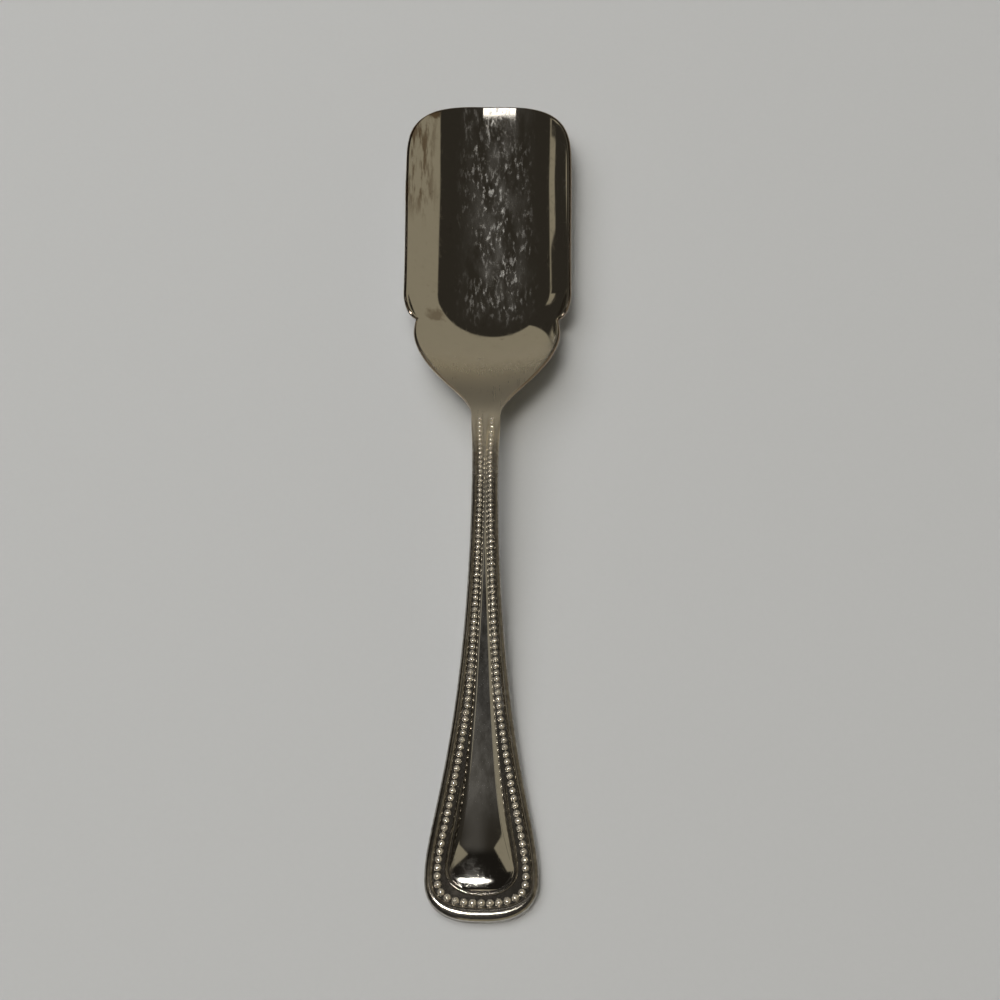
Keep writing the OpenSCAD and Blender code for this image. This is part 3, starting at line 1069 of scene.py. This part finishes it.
        # Half-round rim along both sides, from the inner face to the outer one
        angles = math.pi * steps(self.rim_steps)[1:]
        lean = np.cos(angles)[:, None] * sheet / 2
        rise = np.sin(angles)[:, None]
        middle = inner[:, -1:] - sheet / 2 * normal[:, -1:]
        arc = middle + lean * normal[:, -1:] + rise * (bulge[:, None] * out)[:, None]
        half = len(angles) // 2
        left = mirrored(arc)
        upper = np.concatenate([left[:, :half][:, ::-1], inner, arc[:, :half]], axis=1)
        lower = np.concatenate([arc[:, half:], outer[:, ::-1], left[:, half:][:, ::-1]], axis=1)
        rings = np.concatenate([upper, lower], axis=1)
        # The same rim across the tip
        lip_out = self.end_direction(x[-1], y[-1])[:, None] * bulge[-1]
        lip_normal = normal[-1][:, None] * sheet / 2
        turn = math.pi * steps(self.rim_steps, last=True)[:, None]
        lip = inner[-1][:, None] - lip_normal + np.cos(turn) * lip_normal + np.sin(turn) * lip_out
        # The back is worn flat where it rests
        for points in (rings, lip):
            points[..., 2] = np.maximum(points[..., 2], 0.0)
        draft = Draft()
        # The rim is marked, for a dark line of painted shade along it
        marks = np.zeros(rings.shape[:2])
        marks[:, : half - 1] = 1.0
        marks[:, half + inner.shape[1] + 1 : upper.shape[1] + len(angles) - half] = 1.0
        draft.tube(rings, marks, closed_end=False)
        draft.grid(lip, np.zeros(lip.shape[:2]))
        return draft.sew("bowl_trough")

    def dress(self, piece: bpy.types.Object) -> None:
        """Gives the bowl its worn plate."""
        dressed(piece, BowlFinish("bowl_silver").material(), "bowl")


@dataclass
class Handle:
    """The handle's body: a flat face, upright edges and a rounded back."""

    shape: HandleShape
    face_margin: float = 0.3 * MM
    groove_fade: float = 10.0 * MM
    # Share of the left side's marks that the right side gets: tarnish on the face, painted shade on the
    # upright edge
    right_tarnish: float = 0.8
    back_steps: int = 22

    def build(self) -> bpy.types.Object:
        """Builds the body.

        Returns:
            The closed mesh object.
        """
        plan = self.shape.outline()
        middle = np.stack([np.zeros(len(plan)), np.maximum(plan[:, 1], self.shape.wide_y)], axis=1)
        u = np.cos(math.pi / 2 * steps(self.back_steps))
        across = mix(middle[:, None], plan[:, None], u[:, None])
        z = self.shape.face_z(across[..., 1]) - self.shape.depth(across[..., 1], u)
        back = raised(across, np.maximum(z, 0.0))
        inner = plan - np.minimum(self.face_margin, plan[:, :1] / 2) * outward(plan)
        top = self.shape.on_face(np.stack([inner, plan], axis=1))
        rings = both_sides(np.concatenate([top, back], axis=1), axis=1)
        marks = np.zeros(rings.shape[:2])
        groove_and_shade = ease((self.shape.joint_y - plan[:, 1]) / self.groove_fade)[:, None]
        # The face is marked on both sides for tarnish, and the mark goes on down the upright edge, where it
        # paints shade
        foot = top.shape[1] + 1
        marks[:, :foot], marks[:, -foot:] = self.right_tarnish * groove_and_shade, groove_and_shade
        draft = Draft()
        draft.tube(rings, marks)
        return draft.sew("handle_body")

    def dress(self, piece: bpy.types.Object, material: bpy.types.Material) -> None:
        """Gives the body its plate, with tarnish on the face between the mouldings and painted shade on its
        upright edges.
        """
        dressed(piece, material, "handle")


@dataclass
class Border:
    """The raised border of the handle: edge moulding, graduated beads and inner thread."""

    shape: HandleShape
    stem_edge_w: float = 1.2 * MM
    grip_edge_w: float = 1.6 * MM
    end_edge_w: float = 2.75 * MM
    edge_h: float = 0.75 * MM
    edge_fade: float = 12.0 * MM
    # Power that moves the crest of the edge moulding in from the edge
    edge_skew: float = 0.75
    thread_w: float = 0.6 * MM
    thread_h: float = 0.34 * MM
    thread_gap: float = 0.24 * MM
    thread_fade: float = 10.0 * MM
    bead_gap: float = 0.1 * MM
    neck_pitch: float = 1.0 * MM
    end_pitch: float = 1.68 * MM
    bead_share: float = 0.92
    bead_start: float = 1.0 * MM
    # Distance to either side over which the lean of the face is measured
    lean_step: float = 0.1 * MM
    edge_steps: int = 15
    thread_steps: int = 9
    start_share: float = 0.02
    flank_tarnish: float = 0.92
    # Share of the way across the moulding from which the tarnish deepens towards the inner foot
    foot_from: float = 0.62
    tarnish_fade: float = 11.0 * MM
    # How much tarnish is rubbed off at the end, and the share of worn satin there
    end_worn: float = 0.4
    end_share: float = 0.2

    def half_round(
        self, name: str, plan: np.ndarray, out: np.ndarray, width: np.ndarray, height: np.ndarray, count: int,
        skew: float = 1.0,
    ) -> bpy.types.Object:
        """Builds a rounded moulding that lies on the face, up one side and down the other.

        Args:
            name: Name of the piece.
            plan: Points of the moulding's outer edge in plan, on the right-hand side.
            out: Unit vectors out of that edge.
            width: Width at each point.
            height: Height at each point.
            count: Number of steps round the section.
            skew: Power that moves the crest: 1 leaves it in the middle.

        Returns:
            The closed mesh object.
        """
        a = math.pi * steps(count, last=True)
        inwards = width[:, None] * ((1 - np.cos(a)) / 2) ** skew
        across = plan[:, None] - inwards[..., None] * out[:, None]
        z = self.shape.face_z(across[..., 1]) + height[:, None] * np.sin(a)
        rings = both_sides(raised(across, z), axis=0)
        foot = ease((a / math.pi - self.foot_from) / (1 - self.foot_from))
        fade = ease((self.shape.joint_y - rings[..., 1]) / self.tarnish_fade)
        to_end = self.shape.end_part(rings[..., :2].reshape(-1, 2)).reshape(fade.shape)
        draft = Draft()
        draft.tube(rings, mix(self.flank_tarnish, 1.0, foot) * fade * (1 - self.end_worn * to_end))
        return draft.sew(name)

    def build_edge(self) -> bpy.types.Object:
        """Builds the rounded moulding along the handle's edge.

        Returns:
            The closed mesh object.
        """
        plan = self.shape.outline()
        swell = mix(self.start_share, 1.0, ease((self.shape.joint_y - plan[:, 1]) / self.edge_fade))
        width = mix(self.stem_edge_w, self.grip_edge_w, self.shape.border_share(plan))
        width = mix(width, self.end_edge_w, self.shape.end_part(plan))
        sizes = width, self.edge_h * swell, self.edge_steps, self.edge_skew
        return self.half_round("edge_moulding", plan, outward(plan), *sizes)

    def build_thread(self) -> bpy.types.Object:
        """Builds the fine thread between the beads and the panel, where there is room for it.

        Returns:
            The closed mesh object.
        """
        room = self.bead_share * self.end_pitch / 2 + self.bead_gap + self.thread_w + self.thread_gap
        edge = self.shape.panel_outline()
        tight = np.count_nonzero(self.shape.panel_gap(self.shape.outline()) <= room)
        edge, out = edge[tight:], outward(edge)[tight:]
        swell = mix(self.start_share, 1.0, ease((edge[0, 1] - edge[:, 1]) / self.thread_fade))
        plan = edge + (self.thread_gap + self.thread_w) * out
        sizes = np.full(len(plan), self.thread_w), self.thread_h * swell, self.thread_steps
        return self.half_round("inner_thread_line", plan, out, *sizes)

    def bead_path(self) -> bpy.types.Object:
        """Builds the path of the bead row, from one side of the neck round the end to the other.

        Returns:
            A mesh object of edges, with the lean of the face at each point.
        """
        plan = self.shape.inset(0.0)
        plan = plan[plan[:, 1] < self.shape.joint_y - self.bead_start]
        right = self.shape.on_face(plan)
        end = self.shape.on_face(np.array([[0.0, self.shape.end_y + self.shape.end_inset]]))
        points = np.concatenate([right, end, mirrored(right)[::-1]])
        data = bpy.data.meshes.new("bead_path")
        data.from_pydata(points.tolist(), [(i, i + 1) for i in range(len(points) - 1)], [])
        before, after = (self.shape.face_z(points[:, 1] + step) for step in (-self.lean_step, self.lean_step))
        slope = (after - before) / (2 * self.lean_step)
        lean = data.attributes.new(LEAN, "FLOAT", "POINT")
        lean.data.foreach_set("value", np.arctan(slope).astype(np.float32))
        return linked("bead_path", data)

    def build_beads(self, material: bpy.types.Material) -> bpy.types.Object:
        """Sets the beads along their path.

        Args:
            material: Finish of the beads.

        Returns:
            The beads as one plain mesh object.
        """
        path = self.bead_path()
        points = np.array([v.co for v in path.data.vertices])
        length = np.linalg.norm(np.diff(points, axis=0), axis=1).sum() / 2
        growth = math.log(self.end_pitch / self.neck_pitch)
        side = round(length * growth / (self.end_pitch - self.neck_pitch))
        values = {
            "Bead Count": 2 * side + 1,
            "Neck Pitch": self.neck_pitch,
            "End Pitch": self.end_pitch,
            "Bead Share": self.bead_share,
            "Finish": material,
        }
        return BeadTree("bead_row").apply(path, values, "bead_row")

    def dress(self, plate: bpy.types.Material) -> None:
        """Builds the border's pieces in order and gives them their plate.

        Args:
            plate: Finish of the handle, which the thread shares.
        """
        worn = HandleFinish("edge_silver", worn_share=self.end_share).material()
        dressed(self.build_edge(), worn, "edge_thread")
        pearl = BeadFinish("bead_silver").material()
        dressed(self.build_beads(pearl), pearl, "bead_border")
        dressed(self.build_thread(), plate, "inner_thread")


class BeadTree:
    """Geometry nodes that set graduated domes along a path, smallest at both of its ends."""

    # Faces round a bead, and from its top to the middle of its base
    segments = 12
    rings = 8
    # Height of a dome, as a share of its radius
    dome_height = 0.85

    def __init__(self, name: str) -> None:
        """Builds the tree.

        Args:
            name: Name of the tree.
        """
        self.tree = bpy.data.node_groups.new(name, "GeometryNodeTree")
        self.bench = NodeBench(self.tree)
        kinds = {
            "Path": "Geometry",
            "Bead Count": "Int",
            "Neck Pitch": "Float",
            "End Pitch": "Float",
            "Bead Share": "Float",
            "Finish": "Material",
        }
        for label, kind in kinds.items():
            self.tree.interface.new_socket(label, in_out="INPUT", socket_type=f"NodeSocket{kind}")
        self.tree.interface.new_socket("Beads", in_out="OUTPUT", socket_type="NodeSocketGeometry")
        self.wire()

    def dome(self) -> Socket:
        """Dome of radius 1 with a flat base, which carries the mark of tarnish and painted shade, here
        deepest at its foot.

        Returns:
            The dome's mesh.
        """
        bench = self.bench
        inputs = {"Segments": self.segments, "Rings": self.rings, "Radius": 1.0}
        ball = bench.out("GeometryNodeMeshUVSphere", inputs)
        x, y, z = bench.axes(bench.out("GeometryNodeInputPosition"))
        rise = bench.math("MAXIMUM", z, 0.0)
        top = bench.product(rise, self.dome_height)
        place = bench.out("ShaderNodeCombineXYZ", {"X": x, "Y": y, "Z": top})
        flat = bench.out("GeometryNodeSetPosition", {"Geometry": ball, "Position": place})
        depth = bench.math("POWER", bench.less(1.0, rise), 2.0)
        inputs = {"Geometry": flat, "Name": TARNISH_AND_SHADE, "Value": depth}
        return bench.out("GeometryNodeStoreNamedAttribute", inputs, data_type="FLOAT", domain="POINT")

    def wire(self) -> None:
        """Links the dome, the path and the growing spacing."""
        bench = self.bench
        given = bench.add("NodeGroupInput").outputs
        neck, end = given["Neck Pitch"], given["End Pitch"]
        # Runs from -1 at the first bead through 0 at the end of the handle to 1 at the last bead
        last = bench.less(given["Bead Count"], 1.0)
        side = bench.line(bench.math("DIVIDE", bench.out("GeometryNodeInputIndex"), last), 2.0, -1.0)
        # Share of the way from the neck, which grows with the pitch
        ratio = bench.math("DIVIDE", end, neck)
        grown = bench.math("POWER", ratio, bench.less(1.0, bench.math("ABSOLUTE", side)))
        share = bench.math("DIVIDE", bench.less(grown, 1.0), bench.less(ratio, 1.0))
        factor = bench.line(bench.product(bench.math("SIGN", side), bench.less(1.0, share)), 0.5, 0.5)
        curve = bench.out("GeometryNodeMeshToCurve", {0: given["Path"]})
        lean = bench.out("GeometryNodeInputNamedAttribute", {"Name": LEAN}, data_type="FLOAT")
        inputs = {"Curves": curve, "Value": lean, "Factor": factor}
        settings = {"mode": "FACTOR", "data_type": "FLOAT", "use_all_curves": True}
        sample = bench.add("GeometryNodeSampleCurve", inputs, **settings).outputs
        dots = bench.out("GeometryNodePoints", {"Count": given["Bead Count"]})
        dots = bench.out("GeometryNodeSetPosition", {"Geometry": dots, "Position": sample["Position"]})
        turn = bench.out("ShaderNodeCombineXYZ", {"X": sample["Value"]})
        spin = bench.out("FunctionNodeEulerToRotation", {0: turn})
        pitch = bench.line(share, bench.less(end, neck), neck)
        size = bench.product(pitch, given["Bead Share"], 0.5)
        inputs = {"Points": dots, "Instance": self.dome(), "Rotation": spin, "Scale": size}
        row = bench.out("GeometryNodeInstanceOnPoints", inputs)
        solid = bench.out("GeometryNodeRealizeInstances", {0: row})
        smooth = bench.out("GeometryNodeSetShadeSmooth", {0: solid})
        done = bench.out("GeometryNodeSetMaterial", {"Geometry": smooth, "Material": given["Finish"]})
        bench.add("NodeGroupOutput", {0: done})

    def apply(self, path: bpy.types.Object, values: dict[str, object], name: str) -> bpy.types.Object:
        """Runs the tree on a path and keeps its result as a plain mesh.

        Args:
            path: Mesh object of the path, which is removed.
            values: Inputs of the tree by label.
            name: Name of the resulting piece.

        Returns:
            The new mesh object.
        """
        modifier = path.modifiers.new(name, "NODES")
        modifier.node_group = self.tree
        for item in self.tree.interface.items_tree:
            if item.in_out == "INPUT" and item.name in values:
                modifier[item.identifier] = values[item.name]
        graph = bpy.context.evaluated_depsgraph_get()
        data = bpy.data.meshes.new_from_object(path.evaluated_get(graph))
        data.name = name
        path.modifiers.remove(modifier)
        bpy.data.objects.remove(path)
        return linked(name, data)


@dataclass
class CentrePanel:
    """The raised panel of the grip, softly domed, which narrows to a ridge on the stem."""

    shape: HandleShape
    ridge_h: float = 0.5 * MM
    panel_h: float = 1.4 * MM
    ridge_fade: float = 8.0 * MM
    start_share: float = 0.05
    side_slope: float = math.radians(40)
    # Shares of the height that the dome falls to the sides and to the nose
    side_fall: float = 0.62
    nose_fall: float = 0.8
    # Length of the nose, as a share of the panel's half-width, and how late it falls
    nose_share: float = 2.2
    nose_power: float = 3.0
    # How far the nose bends back at its sides, as a share of the panel's half-width
    nose_bend: float = 0.22
    round_over: float = 0.14 * MM
    # Tarnish at the foot of the right slope, which is rubbed, next to the left one's
    right_tarnish: float = 0.2
    # Share of the way to the middle over which that tarnish fades out
    side_tarnish: float = 0.34
    # The dome keeps this share of its height at least
    least_dome: float = 0.03
    across_steps: int = 48
    # How far the points reach from the edge towards the middle, and how they crowd at the edge
    across_reach: float = 0.98
    across_power: float = 1.6

    @staticmethod
    def off_edge(points: np.ndarray, edge: np.ndarray) -> np.ndarray:
        """Distance of places from the panel's edge.

        Args:
            points: Places in plan, as rows by columns by two.
            edge: Places of the edge's right half in plan, down to the nose.

        Returns:
            Distances, as rows by columns.
        """
        whole = np.concatenate([edge, edge[::-1] * np.array([-1.0, 1.0])])
        start, run = whole[:-1], np.diff(whole, axis=0)
        length = np.maximum((run**2).sum(axis=-1), TINY)
        away = []
        for row in points:
            off = row[:, None] - start
            along = np.clip((off * run).sum(axis=-1) / length, 0.0, 1.0)
            away.append(np.linalg.norm(off - along[..., None] * run, axis=-1).min(axis=-1))
        return np.stack(away)

    def rise(self, points: np.ndarray, edge: np.ndarray) -> np.ndarray:
        """Height above the face: sloping sides that round over into a soft dome with a round nose.

        Args:
            points: Places in plan, as rows by columns by two.
            edge: Places of the panel's edge in plan, one for each row.

        Returns:
            Heights, as rows by columns.
        """
        shape, y = self.shape, edge[:, 1]
        side = math.tan(self.side_slope) * self.off_edge(points, edge)
        half, widest = shape.panel_half(y), shape.panel_half(np.array(shape.wide_y))
        broad = ease((half - shape.stem_panel_gap) / (widest - shape.stem_panel_gap))
        swell = mix(self.start_share, 1.0, ease((shape.joint_y - y) / self.ridge_fade))
        height = mix(self.ridge_h, self.panel_h, broad) * swell
        aside = (points[..., 0] / widest) ** 2
        ahead = y[:, None] - shape.panel_end_y - self.nose_bend * widest * aside
        nose = np.maximum(0.0, 1 - ahead / (self.nose_share * widest)) ** self.nose_power
        fall = self.side_fall * aside + self.nose_fall * nose
        dome = height[:, None] * np.maximum(1 - fall, self.least_dome)
        near = np.maximum(self.round_over - np.abs(side - dome), 0.0) / self.round_over
        return np.maximum(np.minimum(side, dome) - near**2 * self.round_over / 4, 0.0)

    def build(self) -> bpy.types.Object:
        """Builds the panel.

        Returns:
            The closed mesh object.
        """
        plan = self.shape.panel_outline()
        s = self.across_reach * steps(self.across_steps, last=True) ** self.across_power
        across = np.stack(np.broadcast_arrays(plan[:, :1] * (1 - s), plan[:, 1:]), axis=-1)
        z = self.shape.face_z(across[..., 1]) + self.rise(across, plan)
        rings = both_sides(raised(across, z), axis=1)
        side = ease(1 - s / self.side_tarnish)
        marks = np.broadcast_to(np.concatenate([self.right_tarnish * side, side[::-1]]), rings.shape[:2])
        draft = Draft()
        draft.tube(rings, marks)
        return draft.sew("panel_dome")

    def dress(self, piece: bpy.types.Object) -> None:
        """Gives the panel its scratched polish."""
        dressed(piece, PanelFinish("panel_silver").material(), "centre_panel")


@dataclass(frozen=True)
class NearSide:
    """Lit zone on one side of the room's near half, beside a dark, waisted zone in the middle."""

    # -1 on the left, 1 on the right
    sign: float
    # Distance from the middle plane up to which the zone goes on past the near half, and how far
    edge: float
    reach: float
    # Reach to the near side where the zone ends
    stop: float
    # Half-width of the dark zone at its waist, where that is, and how it widens beyond and short of it
    waist: float
    waist_y: float
    beyond: float
    short: float


@dataclass(frozen=True)
class Glint:
    """A window or lamp of the room that glints in the plate."""

    # Ends of its reach to the far side, and its ends from left to right over the height
    reach: tuple
    aside: tuple
    strength: float
    # How softly it ends in both ways
    soft: tuple


@dataclass
class Room:
    """The dim room that the plate mirrors, in zones by direction.

    A direction has x to the right, y to the far side and z up.
    """

    wall_colour: Colour = (0.245, 0.217, 0.155)
    ceiling_colour: Colour = (0.027, 0.0235, 0.018)
    shade_colour: Colour = (0.011, 0.0095, 0.0075)
    zenith_colour: Colour = (0.066, 0.061, 0.053)
    glint_colour: Colour = (1.0, 0.96, 0.88)
    blur: float = 0.012
    # Height up to which the far walls are lit: its mean, its gains to the right and to the far side, and its
    # gain with the square of the latter
    wall_top: float = 0.672
    wall_gain: tuple = (0.143, -0.324)
    wall_bend: float = -0.098
    # On the left the walls are dark below one height, and dark all over short of a reach to the far side
    left_from: float = -0.26
    left_low: float = 0.222
    left_far: float = 0.48
    # That dark starts a little above the level and ends between these reaches
    left_foot: float = 0.02
    left_stop: tuple = (0.889, 0.881)
    # Reaches between which the lit strip above the dark on the left narrows, and by how much
    strip_from: tuple = (0.608, 0.596)
    strip_to: tuple = (0.69, 0.72)
    strip_narrowing: float = 0.08
    # On the right the walls are dark below this height, short of this reach to the far side
    right_low: float = 0.12
    right_far: float = 0.42
    # Above this height the walls are dark on the near side
    behind_low: float = 0.5
    behind_from: tuple = (0.0, -0.05)
    # The near half is lit above this height and short of this reach, apart from the zone in its middle
    near_low: float = 0.4
    near_from: float = 0.1
    near_blur: float = 0.01
    near_sides: tuple = (
        NearSide(sign=-1.0, edge=0.75, reach=0.27, stop=-0.06,
                 waist=0.264, waist_y=0.117, beyond=1.47, short=1.76),
        NearSide(sign=1.0, edge=0.6, reach=0.42, stop=-0.09,
                 waist=0.204, waist_y=0.182, beyond=0.97, short=1.06),
    )
    # Heights, and places from right to left, between which the ceiling gets paler overhead
    zenith_from: tuple = (0.88, 0.95)
    zenith_side: tuple = (0.15, -0.12)
    # Reaches between which the shade of the near half gives way to the ceiling
    shade_to: tuple = (0.1, 0.22)
    glints: tuple = (
        Glint(reach=(0.506, 0.524), aside=(-0.511, 0.098), strength=2.2, soft=(0.004, 0.004)),
        Glint(reach=(-0.206, -0.196), aside=(-0.205, -0.195), strength=128.0, soft=(0.03, 0.55)),
    )
    # How much a glint bends to the far side with the square of its place from left to right
    glint_bend: float = 0.0436
    # How steeply a glint fades out
    glint_power: float = 3.0
    # Glints are seen above this height only
    glint_low: float = 0.05

    def __post_init__(self) -> None:
        """Starts the room's tree and takes a direction apart."""
        world = bpy.data.worlds.new("room")
        bpy.context.scene.world = world
        world.use_nodes = True
        self.bench = NodeBench(world.node_tree)
        self.x, self.y, self.z = self.bench.axes(self.bench.add("ShaderNodeTexCoord").outputs["Generated"])

    def build(self) -> None:
        """Paints the room: lit walls with dark zones, a dark ceiling, paler overhead, and the glints."""
        bench = self.bench
        walls = bench.most(self.far_walls(), self.near_walls())
        room = bench.blend(walls, self.ceiling(), self.wall_colour)
        for glint in self.glints:
            room = bench.blend(self.shine(glint), room, tuple(glint.strength * c for c in self.glint_colour))
        bench.feed(bench.tree.nodes["Background"].inputs["Color"], room)

    def above(self, value: Input, place: float) -> Socket:
        """Share that turns from 0 to 1 where a value passes a place."""
        return self.bench.band(value, place - self.blur, place + self.blur)

    def below(self, value: Input, place: float) -> Socket:
        """Share that turns from 1 to 0 where a value passes a place."""
        return self.bench.less(1.0, self.above(value, place))

    def far_walls(self) -> Socket:
        """Share of the lit walls in the far half.

        Returns:
            1 on the lit walls, 0 on the ceiling and in the dark zones.
        """
        bench, y, z = self.bench, self.y, self.z
        level = bench.out("ShaderNodeCombineXYZ", {"X": self.x, "Y": y})
        right, far, _ = bench.axes(bench.out("ShaderNodeVectorMath", {0: level}, operation="NORMALIZE"))
        top = bench.total(
            bench.product(right, self.wall_gain[0]),
            bench.product(far, self.wall_gain[1]),
            bench.product(far, far, self.wall_bend),
            self.wall_top,
        )
        lit = bench.band(bench.less(z, top), self.blur, -self.blur)
        narrow = bench.most(bench.band(y, *self.strip_from), bench.band(y, *self.strip_to))
        strip = bench.less(z, bench.product(narrow, self.strip_narrowing))
        left = bench.product(
            self.below(right, self.left_from),
            bench.most(self.below(strip, self.left_low), self.below(far, self.left_far)),
            self.above(z, self.left_foot),
            bench.band(y, *self.left_stop),
        )
        beside = bench.product(
            self.above(right, 0.0),
            self.below(far, self.right_far),
            self.below(z, self.right_low),
        )
        behind = bench.product(self.above(z, self.behind_low), bench.band(y, *self.behind_from))
        return bench.product(lit, bench.less(1.0, bench.most(left, beside, behind)))

    def ceiling(self) -> Socket:
        """Colour of the dark ceiling, which is paler overhead, and of the shade in the near half.

        Returns:
            The colour.
        """
        bench = self.bench
        overhead = bench.product(bench.band(self.z, *self.zenith_from), bench.band(self.x, *self.zenith_side))
        pale = bench.blend(overhead, self.ceiling_colour, self.zenith_colour)
        return bench.blend(bench.band(self.y, *self.shade_to), self.shade_colour, pale)

    def near_walls(self) -> Socket:
        """Share of the lit zones in the near half, on both sides of the dark one.

        Returns:
            1 where it is lit.
        """
        bench, y = self.bench, self.y
        near = self.below(y, self.near_from)
        zones = []
        for zone in self.near_sides:
            side = bench.product(self.x, zone.sign)
            off = bench.less(y, zone.waist_y)
            half = bench.total(
                bench.product(bench.math("MAXIMUM", off, 0.0), zone.beyond),
                bench.product(bench.math("MINIMUM", off, 0.0), -zone.short),
                zone.waist,
            )
            beside = bench.product(self.above(bench.less(side, half), 0.0), self.above(y, zone.stop))
            inside = bench.band(side, zone.edge + self.near_blur, zone.edge - self.near_blur)
            further = bench.product(inside, self.below(y, zone.reach))
            zones.append(bench.product(beside, bench.most(near, further)))
        return bench.product(bench.most(*zones), self.above(self.z, self.near_low))

    def shine(self, glint: Glint) -> Socket:
        """Share of a small bright window or lamp.

        Args:
            glint: The window or lamp.

        Returns:
            1 inside it.
        """
        bench = self.bench
        slant = bench.math("DIVIDE", self.x, bench.math("MAXIMUM", self.z, self.glint_low))
        far = bench.less(self.y, bench.product(slant, slant, self.glint_bend))
        result = bench.math("GREATER_THAN", self.z, self.glint_low)
        for value, (low, high), soft in zip((far, slant), (glint.reach, glint.aside), glint.soft):
            ends = bench.band(value, low - soft, low), bench.band(value, high + soft, high)
            result = bench.product(result, *ends)
        return bench.math("POWER", result, self.glint_power)


@dataclass
class Stage:
    """Floor, camera, lamp and room around the scoop."""

    camera_place: tuple = (0.00397, -0.17615, 0.3151)
    camera_aim: tuple = (0.003095, -0.00858, 0.0)
    lens: float = 59.4
    sensor: float = 36.0
    floor_half: float = 3.0
    floor_drop: float = 0.02 * MM
    floor_colour: Colour = (0.515, 0.525, 0.535)
    floor_rough: float = 0.7
    floor_gloss: float = 0.2
    # Noise of the floor's grain, and how dark its darker tone is
    grain: tuple = (900.0, 3.0, 0.6)
    grain_shade: float = 0.97
    fill_place: tuple = (-0.56, 0.34, 1.32)
    fill_aim: tuple = (0.0, 0.0, 0.0)
    fill_size: float = 1.5
    fill_watts: float = 15.0

    def build(self) -> None:
        """Builds the whole stage."""
        self.floor()
        Room().build()
        self.camera()
        self.fill()

    def floor(self) -> None:
        """Builds the pale table top."""
        r, z = self.floor_half, -self.floor_drop
        data = bpy.data.meshes.new("floor")
        data.from_pydata([(-r, -r, z), (r, -r, z), (r, r, z), (-r, r, z)], [], [(0, 1, 2, 3)])
        floor = linked("floor", data)
        material = bpy.data.materials.new("table_top")
        material.use_nodes = True
        bench = NodeBench(material.node_tree)
        shader = material.node_tree.nodes["Principled BSDF"]
        grain = bench.noise(bench.add("ShaderNodeTexCoord").outputs["Object"], *self.grain)
        darker = tuple(self.grain_shade * c for c in self.floor_colour)
        bench.feed(shader.inputs["Base Color"], bench.blend(grain, self.floor_colour, darker))
        shader.inputs["Roughness"].default_value = self.floor_rough
        shader.inputs["Specular IOR Level"].default_value = self.floor_gloss
        data.materials.append(material)

    def camera(self) -> None:
        """Sets the camera at the photograph's angle."""
        data = bpy.data.cameras.new("camera")
        data.lens, data.sensor_width = self.lens, self.sensor
        camera = linked("camera", data)
        aimed(camera, self.camera_place, self.camera_aim)
        bpy.context.scene.camera = camera

    def fill(self) -> None:
        """Hangs the soft square lamp, which the plate doesn't mirror."""
        data = bpy.data.lights.new("fill", "AREA")
        data.shape = "RECTANGLE"
        data.size = data.size_y = self.fill_size
        data.energy = self.fill_watts
        lamp = linked("fill", data)
        aimed(lamp, self.fill_place, self.fill_aim)
        lamp.visible_glossy = False


def main() -> None:
    """Builds the scoop's pieces and the stage in order."""
    logging.basicConfig(level=logging.INFO, format="%(name)s %(message)s")
    bpy.context.scene.view_settings.view_transform = "Standard"
    shape = HandleShape.from_frame()
    plate = HandleFinish("handle_silver").material()
    bowl = Bowl(shape, tip_y=-shape.end_y)
    bowl.dress(bowl.build())
    handle = Handle(shape)
    handle.dress(handle.build(), plate)
    Border(shape).dress(plate)
    panel = CentrePanel(shape)
    panel.dress(panel.build())
    Stage().build()


if __name__ == "__main__":
    main()
